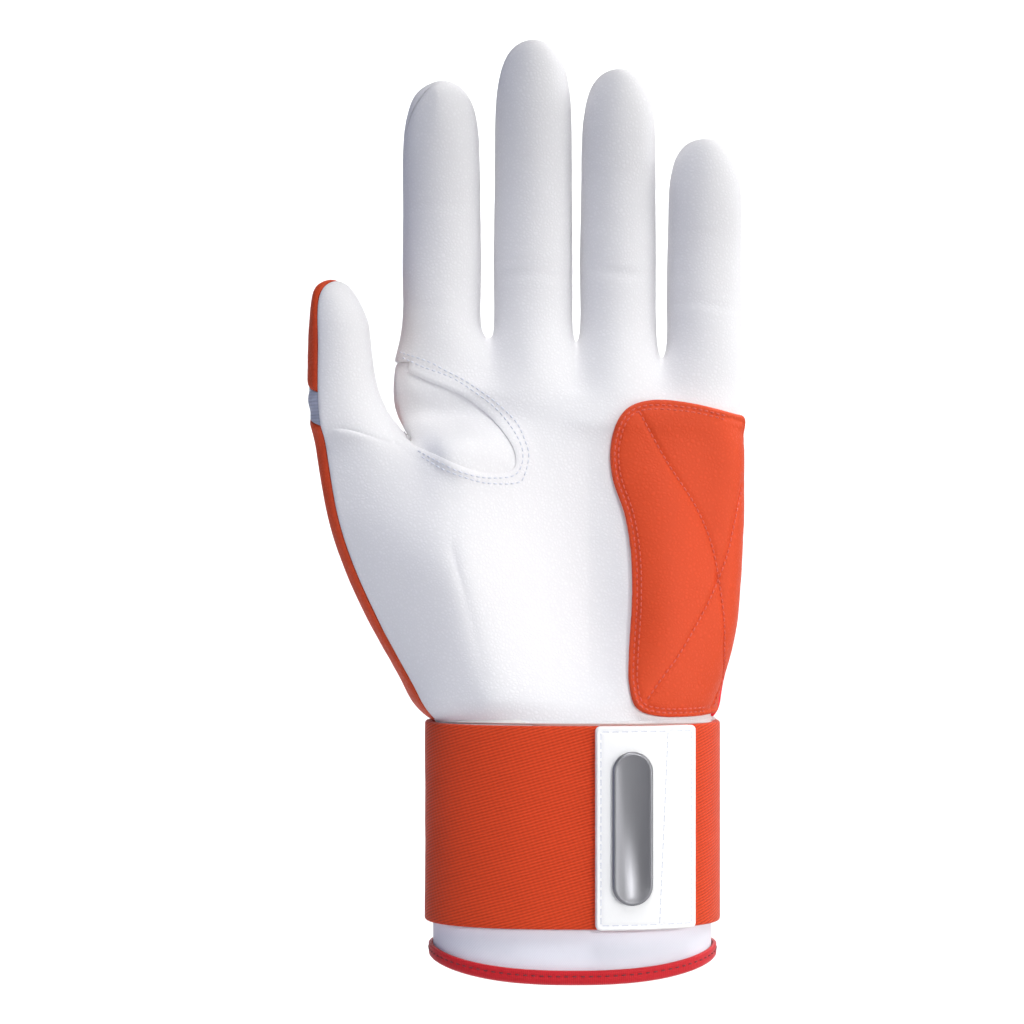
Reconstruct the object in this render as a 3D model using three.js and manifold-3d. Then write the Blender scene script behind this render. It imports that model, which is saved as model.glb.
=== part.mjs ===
// A left-hand batting glove in the form it has on a hand: leather palm with a crotch gusset and heel pad,
// backs of the hand, fingers and thumb, wrist band with its closure tab, cuff and bound hem.
// Millimetres, +Z to the fingertips, the palm faces -Y, the thumb lies at -X.
// The origin is the middle of the wrist opening, level with the lowest point of the hem.
import * as THREE from "three";
import { mergeVertices } from "three/addons/utils/BufferGeometryUtils.js";
import Module from "manifold-3d";

// Sizes of the hand form
const WEB_HEIGHT = 175;
const PALM_WIDTH = 97;
const PALM_DEPTH = 27;
const FINGER_LENGTH = 80;
const FINGER_WIDTH = 21.4;
const FINGER_DEPTH = 18.6;
const FINGER_CURL = 13;
const CROTCH_HEIGHT = 0.8377 * WEB_HEIGHT;
const THUMB_LENGTH = 43;
const THUMB_WIDTH = 23;
const THUMB_DEPTH = 21;
const THUMB_FORWARD = 12;
const WRIST_WIDTH = 76.4;
const WRIST_DEPTH = 51;

// Walls and the room left between pieces
const LEATHER = 1.2;
const CUFF_CLOTH = 2;
const CLEARANCE = 0.3;

// Sizes of what is sewn and strapped on
const GUSSET_SINK = 0.5;
const GUSSET_ROOM = 1.5 * CLEARANCE;
const PAD_THICKNESS = 1.7;
const BAND_BOTTOM = 15.2;
const BAND_HEIGHT = 54.4;
const BAND_THICKNESS = 2;
const BAND_EDGE = 0.5;
const CUFF_TUCK = 6.6;
const HEM_DIP = 4.9;
const BINDING_HEIGHT = 4.1;
const BINDING_CLOTH = 1;
const TAB_WIDTH = 27.3;
const TAB_LEFT = 5.7;
const TAB_THICKNESS = 2.1;
const TAB_EDGE = 0.5;
const BADGE_WIDTH = 11;
const BADGE_HEIGHT = 41;
const BADGE_THICKNESS = 1.2;
const BADGE_BEVEL = 0.4;
const BADGE_FROM_TAB_LEFT = 4.2;
const PIPING_RADIUS = 0.9;

const BAND_TOP = BAND_BOTTOM + BAND_HEIGHT;
const PALM_RISE = WEB_HEIGHT - BAND_TOP;

// How sections are rounded and how fast a curve sets in, as powers and shares
const SIDE_ROUND = 2.4;
const CURL_POWER = 1.8;
const LEAN_POWER = 1.2;
const LEAN_REACH = 0.6;
const HEM_POWER = 1.5;

// How finely the smooth forms are worked out and divided
const FIT_ROUNDS = 8;
const FINGER_SIDES = 8;
const WRIST_COLUMNS = 24;
const RING_STEPS = 40;
const TAB_STEPS = 8;
const GUSSET_EDGE_STEPS = 24;
const PAD_EDGE_STEPS = 30;
const PIPING_SIDES = 8;
const BADGE_END_STEPS = 8;
const TURN_STEP = 0.01;
const TURN_ROUNDS = 40;
const WELD = 1e-4;
const LEAST_PULL = 0.5;

// Fingers: centre line across the palm, length, width and the height they spring from, as shares
const FINGERS = [
  { name: "index", across: -0.37, length: 0.863, width: 1.0, web: 1.0 },
  { name: "middle", across: -0.111, length: 1.0, width: 1.0, web: 1.0 },
  { name: "ring", across: 0.129, length: 0.916, width: 0.965, web: 0.994 },
  { name: "little", across: 0.373, length: 0.73, width: 0.95, web: 0.972 },
];

// Rings along a finger from its base to its tip, as shares of its length, width and depth
const FINGER_RINGS = [
  { up: 0.05, width: 1.02, depth: 1.04 },
  { up: 0.26, width: 1.02, depth: 1.02 },
  { up: 0.52, width: 1.0, depth: 0.97 },
  { up: 0.8, width: 0.955, depth: 0.9 },
  { up: 0.95, width: 0.65, depth: 0.62 },
];

// Webs between the fingers, across the palm and up; they lie a little to the palm side
const WEB_FORWARD = 1;
const WEBS = [
  { across: -0.236, up: 1.0 },
  { across: 0.009, up: 0.994 },
  { across: 0.249, up: 0.969 },
];

// Rings along the thumb from the crotch to the tip
const THUMB_RINGS = [
  { up: 0.13, across: -0.622, forward: 1.0, width: 1.0, depth: 1.0 },
  { up: 0.34, across: -0.644, forward: 1.05, width: 0.84, depth: 0.93 },
  { up: 0.66, across: -0.651, forward: 1.15, width: 0.75, depth: 0.85 },
  { up: 0.91, across: -0.669, forward: 1.28, width: 0.5, depth: 0.55 },
];
const THUMB_TIP = { across: -0.674, forward: 1.32 };
const THUMB_TILT = 0.32;
const THUMB_WEB = { across: -0.466, forward: 0.6 };

// Palm rings between the finger bases and the thumb crotch, heights as shares of WEB_HEIGHT
const UPPER_ROWS = [
  { up: 0.96, droop: 0.04, left: -0.507, right: 0.482, front: 0.46, back: 0.44, groove: 0.13 },
  { up: 0.916, droop: 0.03, left: -0.516, right: 0.478, front: 0.5, back: 0.49, groove: 0.03 },
  { up: 0.872, droop: 0.015, left: -0.502, right: 0.474, front: 0.52, back: 0.53, groove: 0 },
];

// Palm rings from the thumb crotch down to the band: heights as shares of the rise from band to webs,
// across as shares of PALM_WIDTH, depths and bulges of PALM_DEPTH, lean of THUMB_FORWARD
const LOWER_ROWS = [
  { up: 0.715, left: -0.722, split: -0.443, right: 0.487, front: 0.5, back: 0.56, lean: 1 },
  { up: 0.585, left: -0.7, split: -0.4, right: 0.486, front: 0.5, back: 0.59, lean: 0.85 },
  { up: 0.46, left: -0.668, split: -0.37, right: 0.481, front: 0.52, back: 0.62, lean: 0.6 },
  { up: 0.335, left: -0.615, split: -0.34, right: 0.471, front: 0.56, back: 0.66, lean: 0.4 },
  { up: 0.215, left: -0.552, split: -0.31, right: 0.452, front: 0.63, back: 0.71, lean: 0.22 },
  { up: 0.105, left: -0.486, split: -0.28, right: 0.413, front: 0.79, back: 0.82, lean: 0.1 },
  { up: 0.04, left: -0.447, split: -0.26, right: 0.395, front: 0.9, back: 0.9, lean: 0 },
];

// Relief of the same palm rings: ball of the thumb, heel, hollow and the dent at the crotch;
// seam is how far the edge seam lies behind the little finger edge
const LOWER_RELIEF = [
  { thenar: 0.22, heel: 0.04, hollow: 0.02, pinch: 0.35, seam: 1 },
  { thenar: 0.3, heel: 0.14, hollow: 0.05, pinch: 0.12, seam: 1 },
  { thenar: 0.44, heel: 0.22, hollow: 0.07, pinch: 0, seam: 1 },
  { thenar: 0.42, heel: 0.28, hollow: 0.07, pinch: 0, seam: 1 },
  { thenar: 0.33, heel: 0.27, hollow: 0.05, pinch: 0, seam: 0.8 },
  { thenar: 0.18, heel: 0.17, hollow: 0.02, pinch: 0, seam: 0.3 },
  { thenar: 0.05, heel: 0.05, hollow: 0, pinch: 0, seam: 0 },
];

// Where the relief lies across the hand, 0 at the thumb side and 1 at the little finger side
const THENAR = { place: 0.27, spread: 0.17 };
const HEEL = { place: 0.83, spread: 0.15 };
const HOLLOW = { place: 0.6, spread: 0.13 };

// Columns across the palm, 0 at the side of the thumb and 1 at the little finger edge
const PALM_COLUMNS = [0.1, 0.243, 0.372, 0.5, 0.622, 0.748, 0.872, 0.96];
const INDEX_SIDE = 0.045;
const THUMB_SEAM = 0.028;
const EDGE_BEHIND = 0.985;

// Edge of the palm leather round the gusset: across as shares of PALM_WIDTH, up of WEB_HEIGHT
const GUSSET_EDGE = [
  { across: -0.478, up: 0.947 },
  { across: -0.41, up: 0.929 },
  { across: -0.309, up: 0.904 },
  { across: -0.22, up: 0.866 },
  { across: -0.165, up: 0.822 },
  { across: -0.168, up: 0.789 },
  { across: -0.25, up: 0.785 },
  { across: -0.36, up: 0.806 },
  { across: -0.436, up: 0.827 },
];
// Where that opening ends at the side of the index finger, in the same shares
const GUSSET_SIDE = { across: -0.482, rise: 0.03 };
// How far the gusset's own outline rises beyond that side, at its lower and its upper end
const GUSSET_WIDENS = { low: 0.1, high: 0.057 };

// Edge of the heel pad from its top right corner to its bottom right corner, same shares
const PAD_EDGE = [
  { across: 0.46, up: 0.877 },
  { across: 0.33, up: 0.893 },
  { across: 0.2, up: 0.896 },
  { across: 0.135, up: 0.876 },
  { across: 0.105, up: 0.83 },
  { across: 0.11, up: 0.777 },
  { across: 0.145, up: 0.718 },
  { across: 0.162, up: 0.655 },
  { across: 0.164, up: 0.585 },
  { across: 0.155, up: 0.51 },
  { across: 0.153, up: 0.46 },
  { across: 0.175, up: 0.423 },
  { across: 0.25, up: 0.41 },
  { across: 0.38, up: 0.41 },
];

const wasm = await Module();
wasm.setup();

// Half depth of a rounded section at a share u of its width
function roundness(u) {
  return Math.pow(Math.max(0, 1 - Math.pow(Math.abs(2 * u - 1), SIDE_ROUND)), 1 / SIDE_ROUND);
}

// Height of a soft bulge at a share u of the width
function bulge(u, shape) {
  return Math.exp(-Math.pow((u - shape.place) / shape.spread, 2));
}

// Control cage of the whole hand form: places that the surface passes through, four-sided faces,
// and the piece that each face belongs to. Every ring runs from +X over the palm side to the back.
const cage = { points: [], faces: [], pieces: [] };

function addPoint(x, y, z) {
  cage.points.push(new THREE.Vector3(x, y, z));
  return cage.points.length - 1;
}

function addWall(lower, upper, pieceOf) {
  lower.forEach((start, i) => {
    const next = (i + 1) % lower.length;
    cage.faces.push([lower[next], start, upper[i], upper[next]]);
    cage.pieces.push(pieceOf(i));
  });
}

// Four faces close a finger's last ring
function addTip(ring, middle, first, pieceOf) {
  const at = (i) => ring[i % FINGER_SIDES];
  for (let i = first; i < first + FINGER_SIDES; i += 2) {
    cage.faces.push([middle, at(i + 2), at(i + 1), at(i)]);
    cage.pieces.push(pieceOf(i % FINGER_SIDES));
  }
}

// The points round a finger, the ring's plane tilted with its back side up
function fingerRing(centre, halfWidth, halfDepth, tilt) {
  return Array.from({ length: FINGER_SIDES }, (_, i) => {
    const turn = (i * 2 * Math.PI) / FINGER_SIDES;
    const forward = halfDepth * Math.sin(turn);
    return addPoint(centre.x + halfWidth * Math.cos(turn), centre.y - forward, centre.z - tilt * forward);
  });
}

// A palm ring above the thumb crotch: point 0 at the little finger edge, 1 to 9 over the palm side,
// 10 at the side of the index finger, 11 to 19 over the back
function upperRow(row) {
  const left = row.left * PALM_WIDTH;
  const right = row.right * PALM_WIDTH;
  const side = left + INDEX_SIDE * PALM_WIDTH;
  const xs = [side, ...PALM_COLUMNS.map((share) => side + share * (right - side))];
  const place = (x, half) => {
    const u = (x - left) / (right - left);
    const z = (row.up - row.droop * u) * WEB_HEIGHT;
    return addPoint(x, half * PALM_DEPTH * roundness(u), z);
  };
  const underWeb = (i) => i === 2 || i === 4 || i === 6;
  const palm = xs.map((x, i) => place(x, (underWeb(i) ? row.groove : 0) - row.front));
  const back = xs.map((x) => place(x, row.back));
  return [place(right, 0), ...palm.reverse(), place(left, 0), ...back];
}

// A palm ring below the crotch: point 0 at the edge seam, 1 to 11 over the palm side, 12 at the side
// of the thumb, 13 to 23 over the back
function lowerRow(row, relief) {
  const left = row.left * PALM_WIDTH;
  const right = row.right * PALM_WIDTH;
  const split = row.split * PALM_WIDTH;
  const z = BAND_TOP + row.up * PALM_RISE;
  const xs = [
    left + THUMB_SEAM * PALM_WIDTH,
    (left + split) / 2,
    split,
    ...PALM_COLUMNS.map((share) => split + share * (right - split)),
  ];
  const shareOf = (x) => (x - left) / (right - left);
  const middle = (u) => -row.lean * THUMB_FORWARD * Math.pow(Math.max(0, 1 - u / LEAN_REACH), LEAN_POWER);
  const dent = (i) => (i === 2 ? 1 - relief.pinch : 1);
  const palm = xs.map((x, i) => {
    const u = shareOf(x);
    const raised =
      relief.thenar * bulge(u, THENAR) + relief.heel * bulge(u, HEEL) - relief.hollow * bulge(u, HOLLOW);
    const front = row.front * roundness(u) + raised * Math.sqrt(roundness(u));
    return addPoint(x, middle(u) - front * dent(i) * PALM_DEPTH, z);
  });
  const back = xs.map((x, i) => {
    const u = shareOf(x);
    return addPoint(x, middle(u) + row.back * roundness(u) * dent(i) * PALM_DEPTH, z);
  });
  const edge = addPoint(
    right - relief.seam * (1 - EDGE_BEHIND) * (right - left),
    relief.seam * roundness(EDGE_BEHIND) * row.back * PALM_DEPTH,
    z,
  );
  return [edge, ...palm.reverse(), addPoint(left, middle(0), z), ...back];
}

// A point of the wrist's outline, moved outwards by grow, at a turn counted from +X over the palm side
function wristPoint(turn, grow = 0) {
  const at = (angle) => {
    const c = Math.cos(angle);
    const s = Math.sin(angle);
    const power = 2 / SIDE_ROUND;
    return new THREE.Vector2(
      (WRIST_WIDTH / 2) * Math.sign(c) * Math.pow(Math.abs(c), power),
      (-WRIST_DEPTH / 2) * Math.sign(s) * Math.pow(Math.abs(s), power),
    );
  };
  const along = at(turn + TURN_STEP).sub(at(turn - TURN_STEP)).normalize();
  const here = at(turn);
  return new THREE.Vector2(here.x - along.y * grow, here.y + along.x * grow);
}

// Underside of the hem: level at the sides and the back, lowest in the middle of the palm side
function hemHeight(turn) {
  return HEM_DIP * (1 - Math.pow(Math.max(0, Math.sin(turn)), HEM_POWER));
}

function wristRow(heightOf, grow = 0) {
  return Array.from({ length: WRIST_COLUMNS }, (_, i) => {
    const turn = (i * 2 * Math.PI) / WRIST_COLUMNS;
    const p = wristPoint(turn, grow);
    return addPoint(p.x, p.y, heightOf(turn));
  });
}

// Builds the cage and returns the column of points along the little finger edge seam, band upwards
function buildCage() {
  const upper = UPPER_ROWS.map(upperRow);
  const lower = LOWER_ROWS.map((row, i) => lowerRow(row, LOWER_RELIEF[i]));
  const thumbWeb = addPoint(THUMB_WEB.across * PALM_WIDTH, -THUMB_WEB.forward * THUMB_FORWARD, CROTCH_HEIGHT);
  const webs = WEBS.map((web) => addPoint(web.across * PALM_WIDTH, -WEB_FORWARD, web.up * WEB_HEIGHT));

  // Each finger springs from three points of either side of the top ring and the stops beside it
  const base = upper[0];
  const stops = [base[10], ...webs, base[0]];
  FINGERS.forEach((finger, k) => {
    const front = 9 - 2 * k;
    const back = 11 + 2 * k;
    const pieceOf = (i) => (i < 4 ? "palm" : `finger_back_${finger.name}`);
    const length = finger.length * FINGER_LENGTH;
    const from = finger.web * WEB_HEIGHT;
    let ring = [
      stops[k + 1], base[front - 2], base[front - 1], base[front],
      stops[k], base[back], base[back + 1], base[(back + 2) % base.length],
    ];
    for (const row of FINGER_RINGS) {
      const bend = FINGER_CURL * finger.length;
      const centre = new THREE.Vector3(
        finger.across * PALM_WIDTH,
        -bend * Math.pow(row.up, CURL_POWER),
        from + row.up * length,
      );
      const width = row.width * finger.width * FINGER_WIDTH;
      const tilt = (CURL_POWER * bend * row.up) / length;
      const next = fingerRing(centre, width / 2, (row.depth * FINGER_DEPTH) / 2, tilt);
      addWall(ring, next, pieceOf);
      ring = next;
    }
    const tip = addPoint(finger.across * PALM_WIDTH, -FINGER_CURL * finger.length, from + length);
    addTip(ring, tip, 0, pieceOf);
  });

  const palmPiece = (i) => (i > 4 && i < 9 ? "palm_over_gusset" : "palm");
  const upperPiece = (i) => (i < 9 ? palmPiece(i) : i < 11 ? "thumb_gusset" : "back_panel");
  addWall(upper[1], upper[0], upperPiece);
  addWall(upper[2], upper[1], upperPiece);
  // Points 9 to 15 of the crotch ring and the thumb web carry the thumb; the palm goes on past them
  const crotch = lower[0];
  const palmLoop = [...crotch.slice(0, 10), thumbWeb, ...crotch.slice(15)];
  addWall(palmLoop, upper[2], upperPiece);

  let thumb = [thumbWeb, ...crotch.slice(9, 16)];
  const thumbBacks = ["back_panel", "thumb_knuckle_cloth", "thumb_back_tip", "thumb_back_tip"];
  const thumbPiece = (back) => (i) => (i < 3 || i === 7 ? "palm" : back);
  THUMB_RINGS.forEach((row, k) => {
    const centre = new THREE.Vector3(
      row.across * PALM_WIDTH,
      -row.forward * THUMB_FORWARD,
      CROTCH_HEIGHT + row.up * THUMB_LENGTH,
    );
    const next = fingerRing(centre, (row.width * THUMB_WIDTH) / 2, (row.depth * THUMB_DEPTH) / 2, THUMB_TILT);
    addWall(thumb, next, thumbPiece(thumbBacks[k]));
    thumb = next;
  });
  const thumbTip = addPoint(
    THUMB_TIP.across * PALM_WIDTH,
    -THUMB_TIP.forward * THUMB_FORWARD,
    CROTCH_HEIGHT + THUMB_LENGTH,
  );
  addTip(thumb, thumbTip, 1, thumbPiece("thumb_back_tip"));

  const lowerPiece = (i) => (i < 11 ? "palm" : "back_panel");
  addWall(lower[1], lower[0], (i) => (i < 11 ? palmPiece(i) : "back_panel"));
  for (let k = 2; k < lower.length; k += 1) addWall(lower[k], lower[k - 1], lowerPiece);
  const cuffTop = BAND_TOP - CUFF_TUCK;
  const tucked = wristRow(() => BAND_TOP + CLEARANCE, -CLEARANCE);
  addWall(tucked, lower[lower.length - 1], lowerPiece);
  const top = wristRow(() => cuffTop);
  addWall(top, tucked, lowerPiece);
  const hem = wristRow((turn) => hemHeight(turn) + BINDING_CLOTH + CLEARANCE);
  addWall(hem, top, () => "cuff");
  return [tucked[0], ...lower.map((row) => row[0]).reverse()];
}

// Neighbours of every point: joined points, points across each face, and edge neighbours on an open rim
function neighbourhood({ points, faces }) {
  const around = points.map(() => ({ joined: new Set(), across: [], rim: [], faces: [] }));
  const edges = new Map();
  faces.forEach((face, f) => {
    face.forEach((a, i) => {
      const b = face[(i + 1) % 4];
      around[a].joined.add(b).add(face[(i + 3) % 4]);
      around[a].across.push(face[(i + 2) % 4]);
      around[a].faces.push(f);
      const key = a < b ? `${a},${b}` : `${b},${a}`;
      edges.set(key, [...(edges.get(key) ?? []), f]);
    });
  });
  for (const [key, sides] of edges) {
    if (sides.length > 1) continue;
    const [a, b] = key.split(",").map(Number);
    around[a].rim.push(b);
    around[b].rim.push(a);
  }
  return { around, edges };
}

function sum(points, indices) {
  return indices.reduce((total, i) => total.add(points[i]), new THREE.Vector3());
}

// Where each point of a cage ends up on its smooth surface
function smoothPlaces(points, around) {
  return points.map((point, i) => {
    const { joined, across, rim } = around[i];
    if (rim.length) return point.clone().multiplyScalar(4).add(sum(points, rim)).divideScalar(6);
    const n = joined.size;
    return point
      .clone()
      .multiplyScalar(n * n)
      .addScaledVector(sum(points, [...joined]), 4)
      .add(sum(points, across))
      .divideScalar(n * (n + 5));
  });
}

// Moves the control points until the smooth surface passes through the places asked for
function fitCage({ points, faces, pieces }) {
  const { around } = neighbourhood({ points, faces });
  let control = points.map((point) => point.clone());
  for (let round = 0; round < FIT_ROUNDS; round += 1) {
    const reached = smoothPlaces(control, around);
    control = control.map((point, i) => point.add(points[i]).sub(reached[i]));
  }
  return { points: control, faces, pieces };
}

// One round of Catmull-Clark subdivision
function subdivide({ points, faces, pieces }) {
  const { around, edges } = neighbourhood({ points, faces });
  const middles = faces.map((face) => sum(points, face).divideScalar(4));
  const moved = points.map((point, i) => {
    const { joined, rim, faces: own } = around[i];
    if (rim.length) return point.clone().multiplyScalar(6).add(sum(points, rim)).divideScalar(8);
    const n = joined.size;
    const spokes = sum(points, [...joined]).divideScalar(n).add(point).divideScalar(2);
    return sum(middles, own)
      .divideScalar(n)
      .addScaledVector(spokes, 2)
      .addScaledVector(point, n - 3)
      .divideScalar(n);
  });
  const result = [...moved];
  const onEdge = new Map();
  for (const [key, sides] of edges) {
    const ends = sum(points, key.split(",").map(Number));
    const inner = sides.length > 1;
    onEdge.set(key, result.length);
    result.push(inner ? ends.add(sum(middles, sides)).divideScalar(4) : ends.divideScalar(2));
  }
  const quads = [];
  const names = [];
  faces.forEach((face, f) => {
    const middle = result.push(middles[f]) - 1;
    const edgeOf = (a, b) => onEdge.get(a < b ? `${a},${b}` : `${b},${a}`);
    face.forEach((corner, i) => {
      quads.push([corner, edgeOf(corner, face[(i + 1) % 4]), middle, edgeOf(corner, face[(i + 3) % 4])]);
      names.push(pieces[f]);
    });
  });
  return { points: result, faces: quads, pieces: names };
}

// The smooth surface as points with normals
function smoothSurface(fitted) {
  const fine = subdivide(fitted);
  const { around } = neighbourhood(fine);
  const points = smoothPlaces(fine.points, around);
  const normals = points.map(() => new THREE.Vector3());
  for (const [a, b, c, d] of fine.faces) {
    const normal = points[c].clone().sub(points[a]).cross(points[d].clone().sub(points[b]));
    for (const corner of [a, b, c, d]) normals[corner].add(normal);
  }
  normals.forEach((normal) => normal.normalize());
  return { points, normals, faces: fine.faces, pieces: fine.pieces };
}

function geometryOf(positions, indices) {
  const geometry = new THREE.BufferGeometry();
  geometry.setAttribute("position", new THREE.Float32BufferAttribute(positions, 3));
  geometry.setIndex(indices);
  return geometry;
}

// A wall cut from the smooth surface: its outer side lies at lift above the surface, its rim keeps
// room to the neighbouring wall
function wallGeometry(surface, isOwn, lift, thickness, room = CLEARANCE / 2) {
  const faces = surface.faces.filter((face, f) => isOwn(surface.pieces[f], face));
  const halves = new Set(faces.flatMap((face) => face.map((a, i) => `${a},${face[(i + 1) % 4]}`)));
  const edges = [...halves].map((key) => key.split(",").map(Number));
  const rim = edges.filter(([a, b]) => !halves.has(`${b},${a}`));
  const pulls = new Map();
  for (const [a, b] of rim) {
    const edge = surface.points[b].clone().sub(surface.points[a]);
    for (const end of [a, b]) {
      const inward = surface.normals[end].clone().cross(edge).normalize();
      pulls.set(end, [...(pulls.get(end) ?? []), inward]);
    }
  }
  const positions = [];
  const indexOf = new Map();
  for (const i of new Set(faces.flat())) {
    const point = surface.points[i].clone();
    const pull = pulls.get(i);
    if (pull) {
      const inward = pull.reduce((total, one) => total.add(one), new THREE.Vector3()).normalize();
      point.addScaledVector(inward, room / Math.max(LEAST_PULL, inward.dot(pull[0])));
    }
    indexOf.set(i, positions.length / 3);
    positions.push(...point.clone().addScaledVector(surface.normals[i], lift));
    positions.push(...point.addScaledVector(surface.normals[i], lift - thickness));
  }
  const indices = [];
  for (const face of faces) {
    const [a, b, c, d] = face.map((i) => indexOf.get(i));
    indices.push(a, b, c, a, c, d, a + 1, c + 1, b + 1, a + 1, d + 1, c + 1);
  }
  for (const edge of rim) {
    const [a, b] = edge.map((i) => indexOf.get(i));
    indices.push(b, a, a + 1, b, a + 1, b + 1);
  }
  return geometryOf(positions, indices);
}

function solidOf(geometry) {
  const bare = geometry.clone();
  bare.deleteAttribute("normal");
  bare.deleteAttribute("uv");
  const merged = mergeVertices(bare, WELD);
  return new wasm.Manifold(
    new wasm.Mesh({
      numProp: 3,
      vertProperties: merged.attributes.position.array,
      triVerts: new Uint32Array(merged.index.array),
    }),
  );
}

// The largest piece left by a cut
function mainBody(solid) {
  return solid.decompose().sort((a, b) => b.volume() - a.volume())[0];
}

function geometryOfSolid(solid) {
  const mesh = solid.getMesh();
  return geometryOf(mesh.vertProperties, [...mesh.triVerts]);
}

// A closed ring or an arc whose section is carried round the wrist. The section lists how far each
// corner lies outside the wrist outline and its height, which may follow the turn.
function wristSweep(section, turns, closed) {
  const positions = [];
  const indices = [];
  for (const turn of turns) {
    for (const { grow, z } of section(turn)) {
      const p = wristPoint(turn, grow);
      positions.push(p.x, p.y, z);
    }
  }
  const corners = section(0).length;
  const last = closed ? turns.length : turns.length - 1;
  for (let t = 0; t < last; t += 1) {
    for (let c = 0; c < corners; c += 1) {
      const a = t * corners + c;
      const b = t * corners + ((c + 1) % corners);
      const across = ((t + 1) % turns.length) * corners - t * corners;
      indices.push(a, b, b + across, a, b + across, a + across);
    }
  }
  if (!closed) {
    const end = (turns.length - 1) * corners;
    for (let c = 1; c < corners - 1; c += 1) {
      indices.push(0, c + 1, c, end, end + c, end + c + 1);
    }
  }
  return geometryOf(positions, indices);
}

const ALL_ROUND = Array.from({ length: RING_STEPS }, (_, i) => (i * 2 * Math.PI) / RING_STEPS);

// A strap section with its outer edges eased
function strapSection(inner, thickness, bottom, top, edge) {
  const outer = inner + thickness;
  return () => [
    { grow: inner, z: top },
    { grow: inner, z: bottom },
    { grow: outer - edge, z: bottom },
    { grow: outer, z: bottom + edge },
    { grow: outer, z: top - edge },
    { grow: outer - edge, z: top },
  ];
}

// The folded binding hugs both sides of the cuff's edge
function bindingSection(turn) {
  const bottom = hemHeight(turn);
  const top = bottom + BINDING_HEIGHT;
  const outer = CLEARANCE + BINDING_CLOTH;
  const inner = -CUFF_CLOTH - CLEARANCE;
  const fold = bottom + BINDING_CLOTH;
  return [
    { grow: CLEARANCE, z: top },
    { grow: CLEARANCE, z: fold },
    { grow: inner, z: fold },
    { grow: inner, z: top },
    { grow: inner - BINDING_CLOTH, z: top },
    { grow: inner - BINDING_CLOTH, z: bottom },
    { grow: outer, z: bottom },
    { grow: outer, z: top },
  ];
}

// Turn at which the wrist outline, grown by grow, reaches a place across on the palm side
function turnAt(x, grow) {
  let low = 0;
  let high = Math.PI;
  for (let i = 0; i < TURN_ROUNDS; i += 1) {
    const middle = (low + high) / 2;
    if (wristPoint(middle, grow).x > x) low = middle;
    else high = middle;
  }
  return low;
}

// A slab seen from the palm side with the given outline, from front to rear along Y
function cutter(outline, front, rear) {
  const shape = new THREE.Shape(outline);
  const geometry = new THREE.ExtrudeGeometry(shape, { depth: rear - front, bevelEnabled: false });
  return solidOf(geometry.rotateX(Math.PI / 2).translate(0, rear, 0));
}

function smoothOutline(rows, steps) {
  const corners = rows.map(({ across, up }) => new THREE.Vector2(across * PALM_WIDTH, up * WEB_HEIGHT));
  return new THREE.SplineCurve(corners).getPoints(steps);
}

// The same outline drawn in by a distance, for an outline that runs clockwise as seen from the palm
function drawnIn(outline, distance) {
  return outline.map((point, i) => {
    const before = outline[Math.max(0, i - 1)];
    const after = outline[Math.min(outline.length - 1, i + 1)];
    const along = after.clone().sub(before).normalize();
    return new THREE.Vector2(point.x + along.y * distance, point.y - along.x * distance);
  });
}

const FRONT_OF_ALL = -2 * WRIST_DEPTH;
const edgeColumn = buildCage();
const surface = smoothSurface(fitCage(cage));
const gussetEdge = smoothOutline(GUSSET_EDGE, GUSSET_EDGE_STEPS);
const padEdge = smoothOutline(PAD_EDGE, PAD_EDGE_STEPS);

const isPalm = (piece) => piece.startsWith("palm");

// The leather round the gusset is cut through along its edge and beyond it at the side of the index finger
function palmGeometry() {
  const start = gussetEdge[0];
  const end = gussetEdge[gussetEdge.length - 1];
  const side = GUSSET_SIDE.across * PALM_WIDTH;
  const risen = end.y + GUSSET_SIDE.rise * WEB_HEIGHT;
  const outline = [...gussetEdge, new THREE.Vector2(side, risen), new THREE.Vector2(side, start.y)];
  const leather = solidOf(wallGeometry(surface, isPalm, 0, LEATHER));
  return geometryOfSolid(leather.subtract(cutter(outline, FRONT_OF_ALL, 0)));
}

// The gusset keeps clear of that opening; past the side of the index finger its outline widens, so
// that only the palm's own edge trims it there
function gussetGeometry() {
  const isOwn = (piece) => piece === "thumb_gusset" || piece === "palm_over_gusset";
  const blank = solidOf(wallGeometry(surface, isOwn, -GUSSET_SINK, LEATHER, GUSSET_ROOM));
  const edge = drawnIn(gussetEdge, GUSSET_ROOM);
  const low = edge[edge.length - 1].y + GUSSET_WIDENS.low * WEB_HEIGHT;
  const high = edge[0].y + GUSSET_WIDENS.high * WEB_HEIGHT;
  const beyond = -PALM_WIDTH;
  const outline = [...edge, new THREE.Vector2(beyond, low), new THREE.Vector2(beyond, high)];
  return geometryOfSolid(blank.intersect(cutter(outline, FRONT_OF_ALL, -FRONT_OF_ALL)));
}

function padGeometry() {
  const isOwn = (piece, face) => isPalm(piece) && surface.points[face[0]].x > 0;
  const blank = solidOf(wallGeometry(surface, isOwn, CLEARANCE + PAD_THICKNESS, PAD_THICKNESS));
  const start = padEdge[0];
  const end = padEdge[padEdge.length - 1];
  const outline = [...padEdge, new THREE.Vector2(PALM_WIDTH, end.y), new THREE.Vector2(PALM_WIDTH, start.y)];
  const pad = blank.intersect(cutter(outline, FRONT_OF_ALL, -FRONT_OF_ALL));
  return geometryOfSolid(mainBody(pad.subtract(solidOf(seamTube(PIPING_RADIUS + CLEARANCE)))));
}

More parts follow.
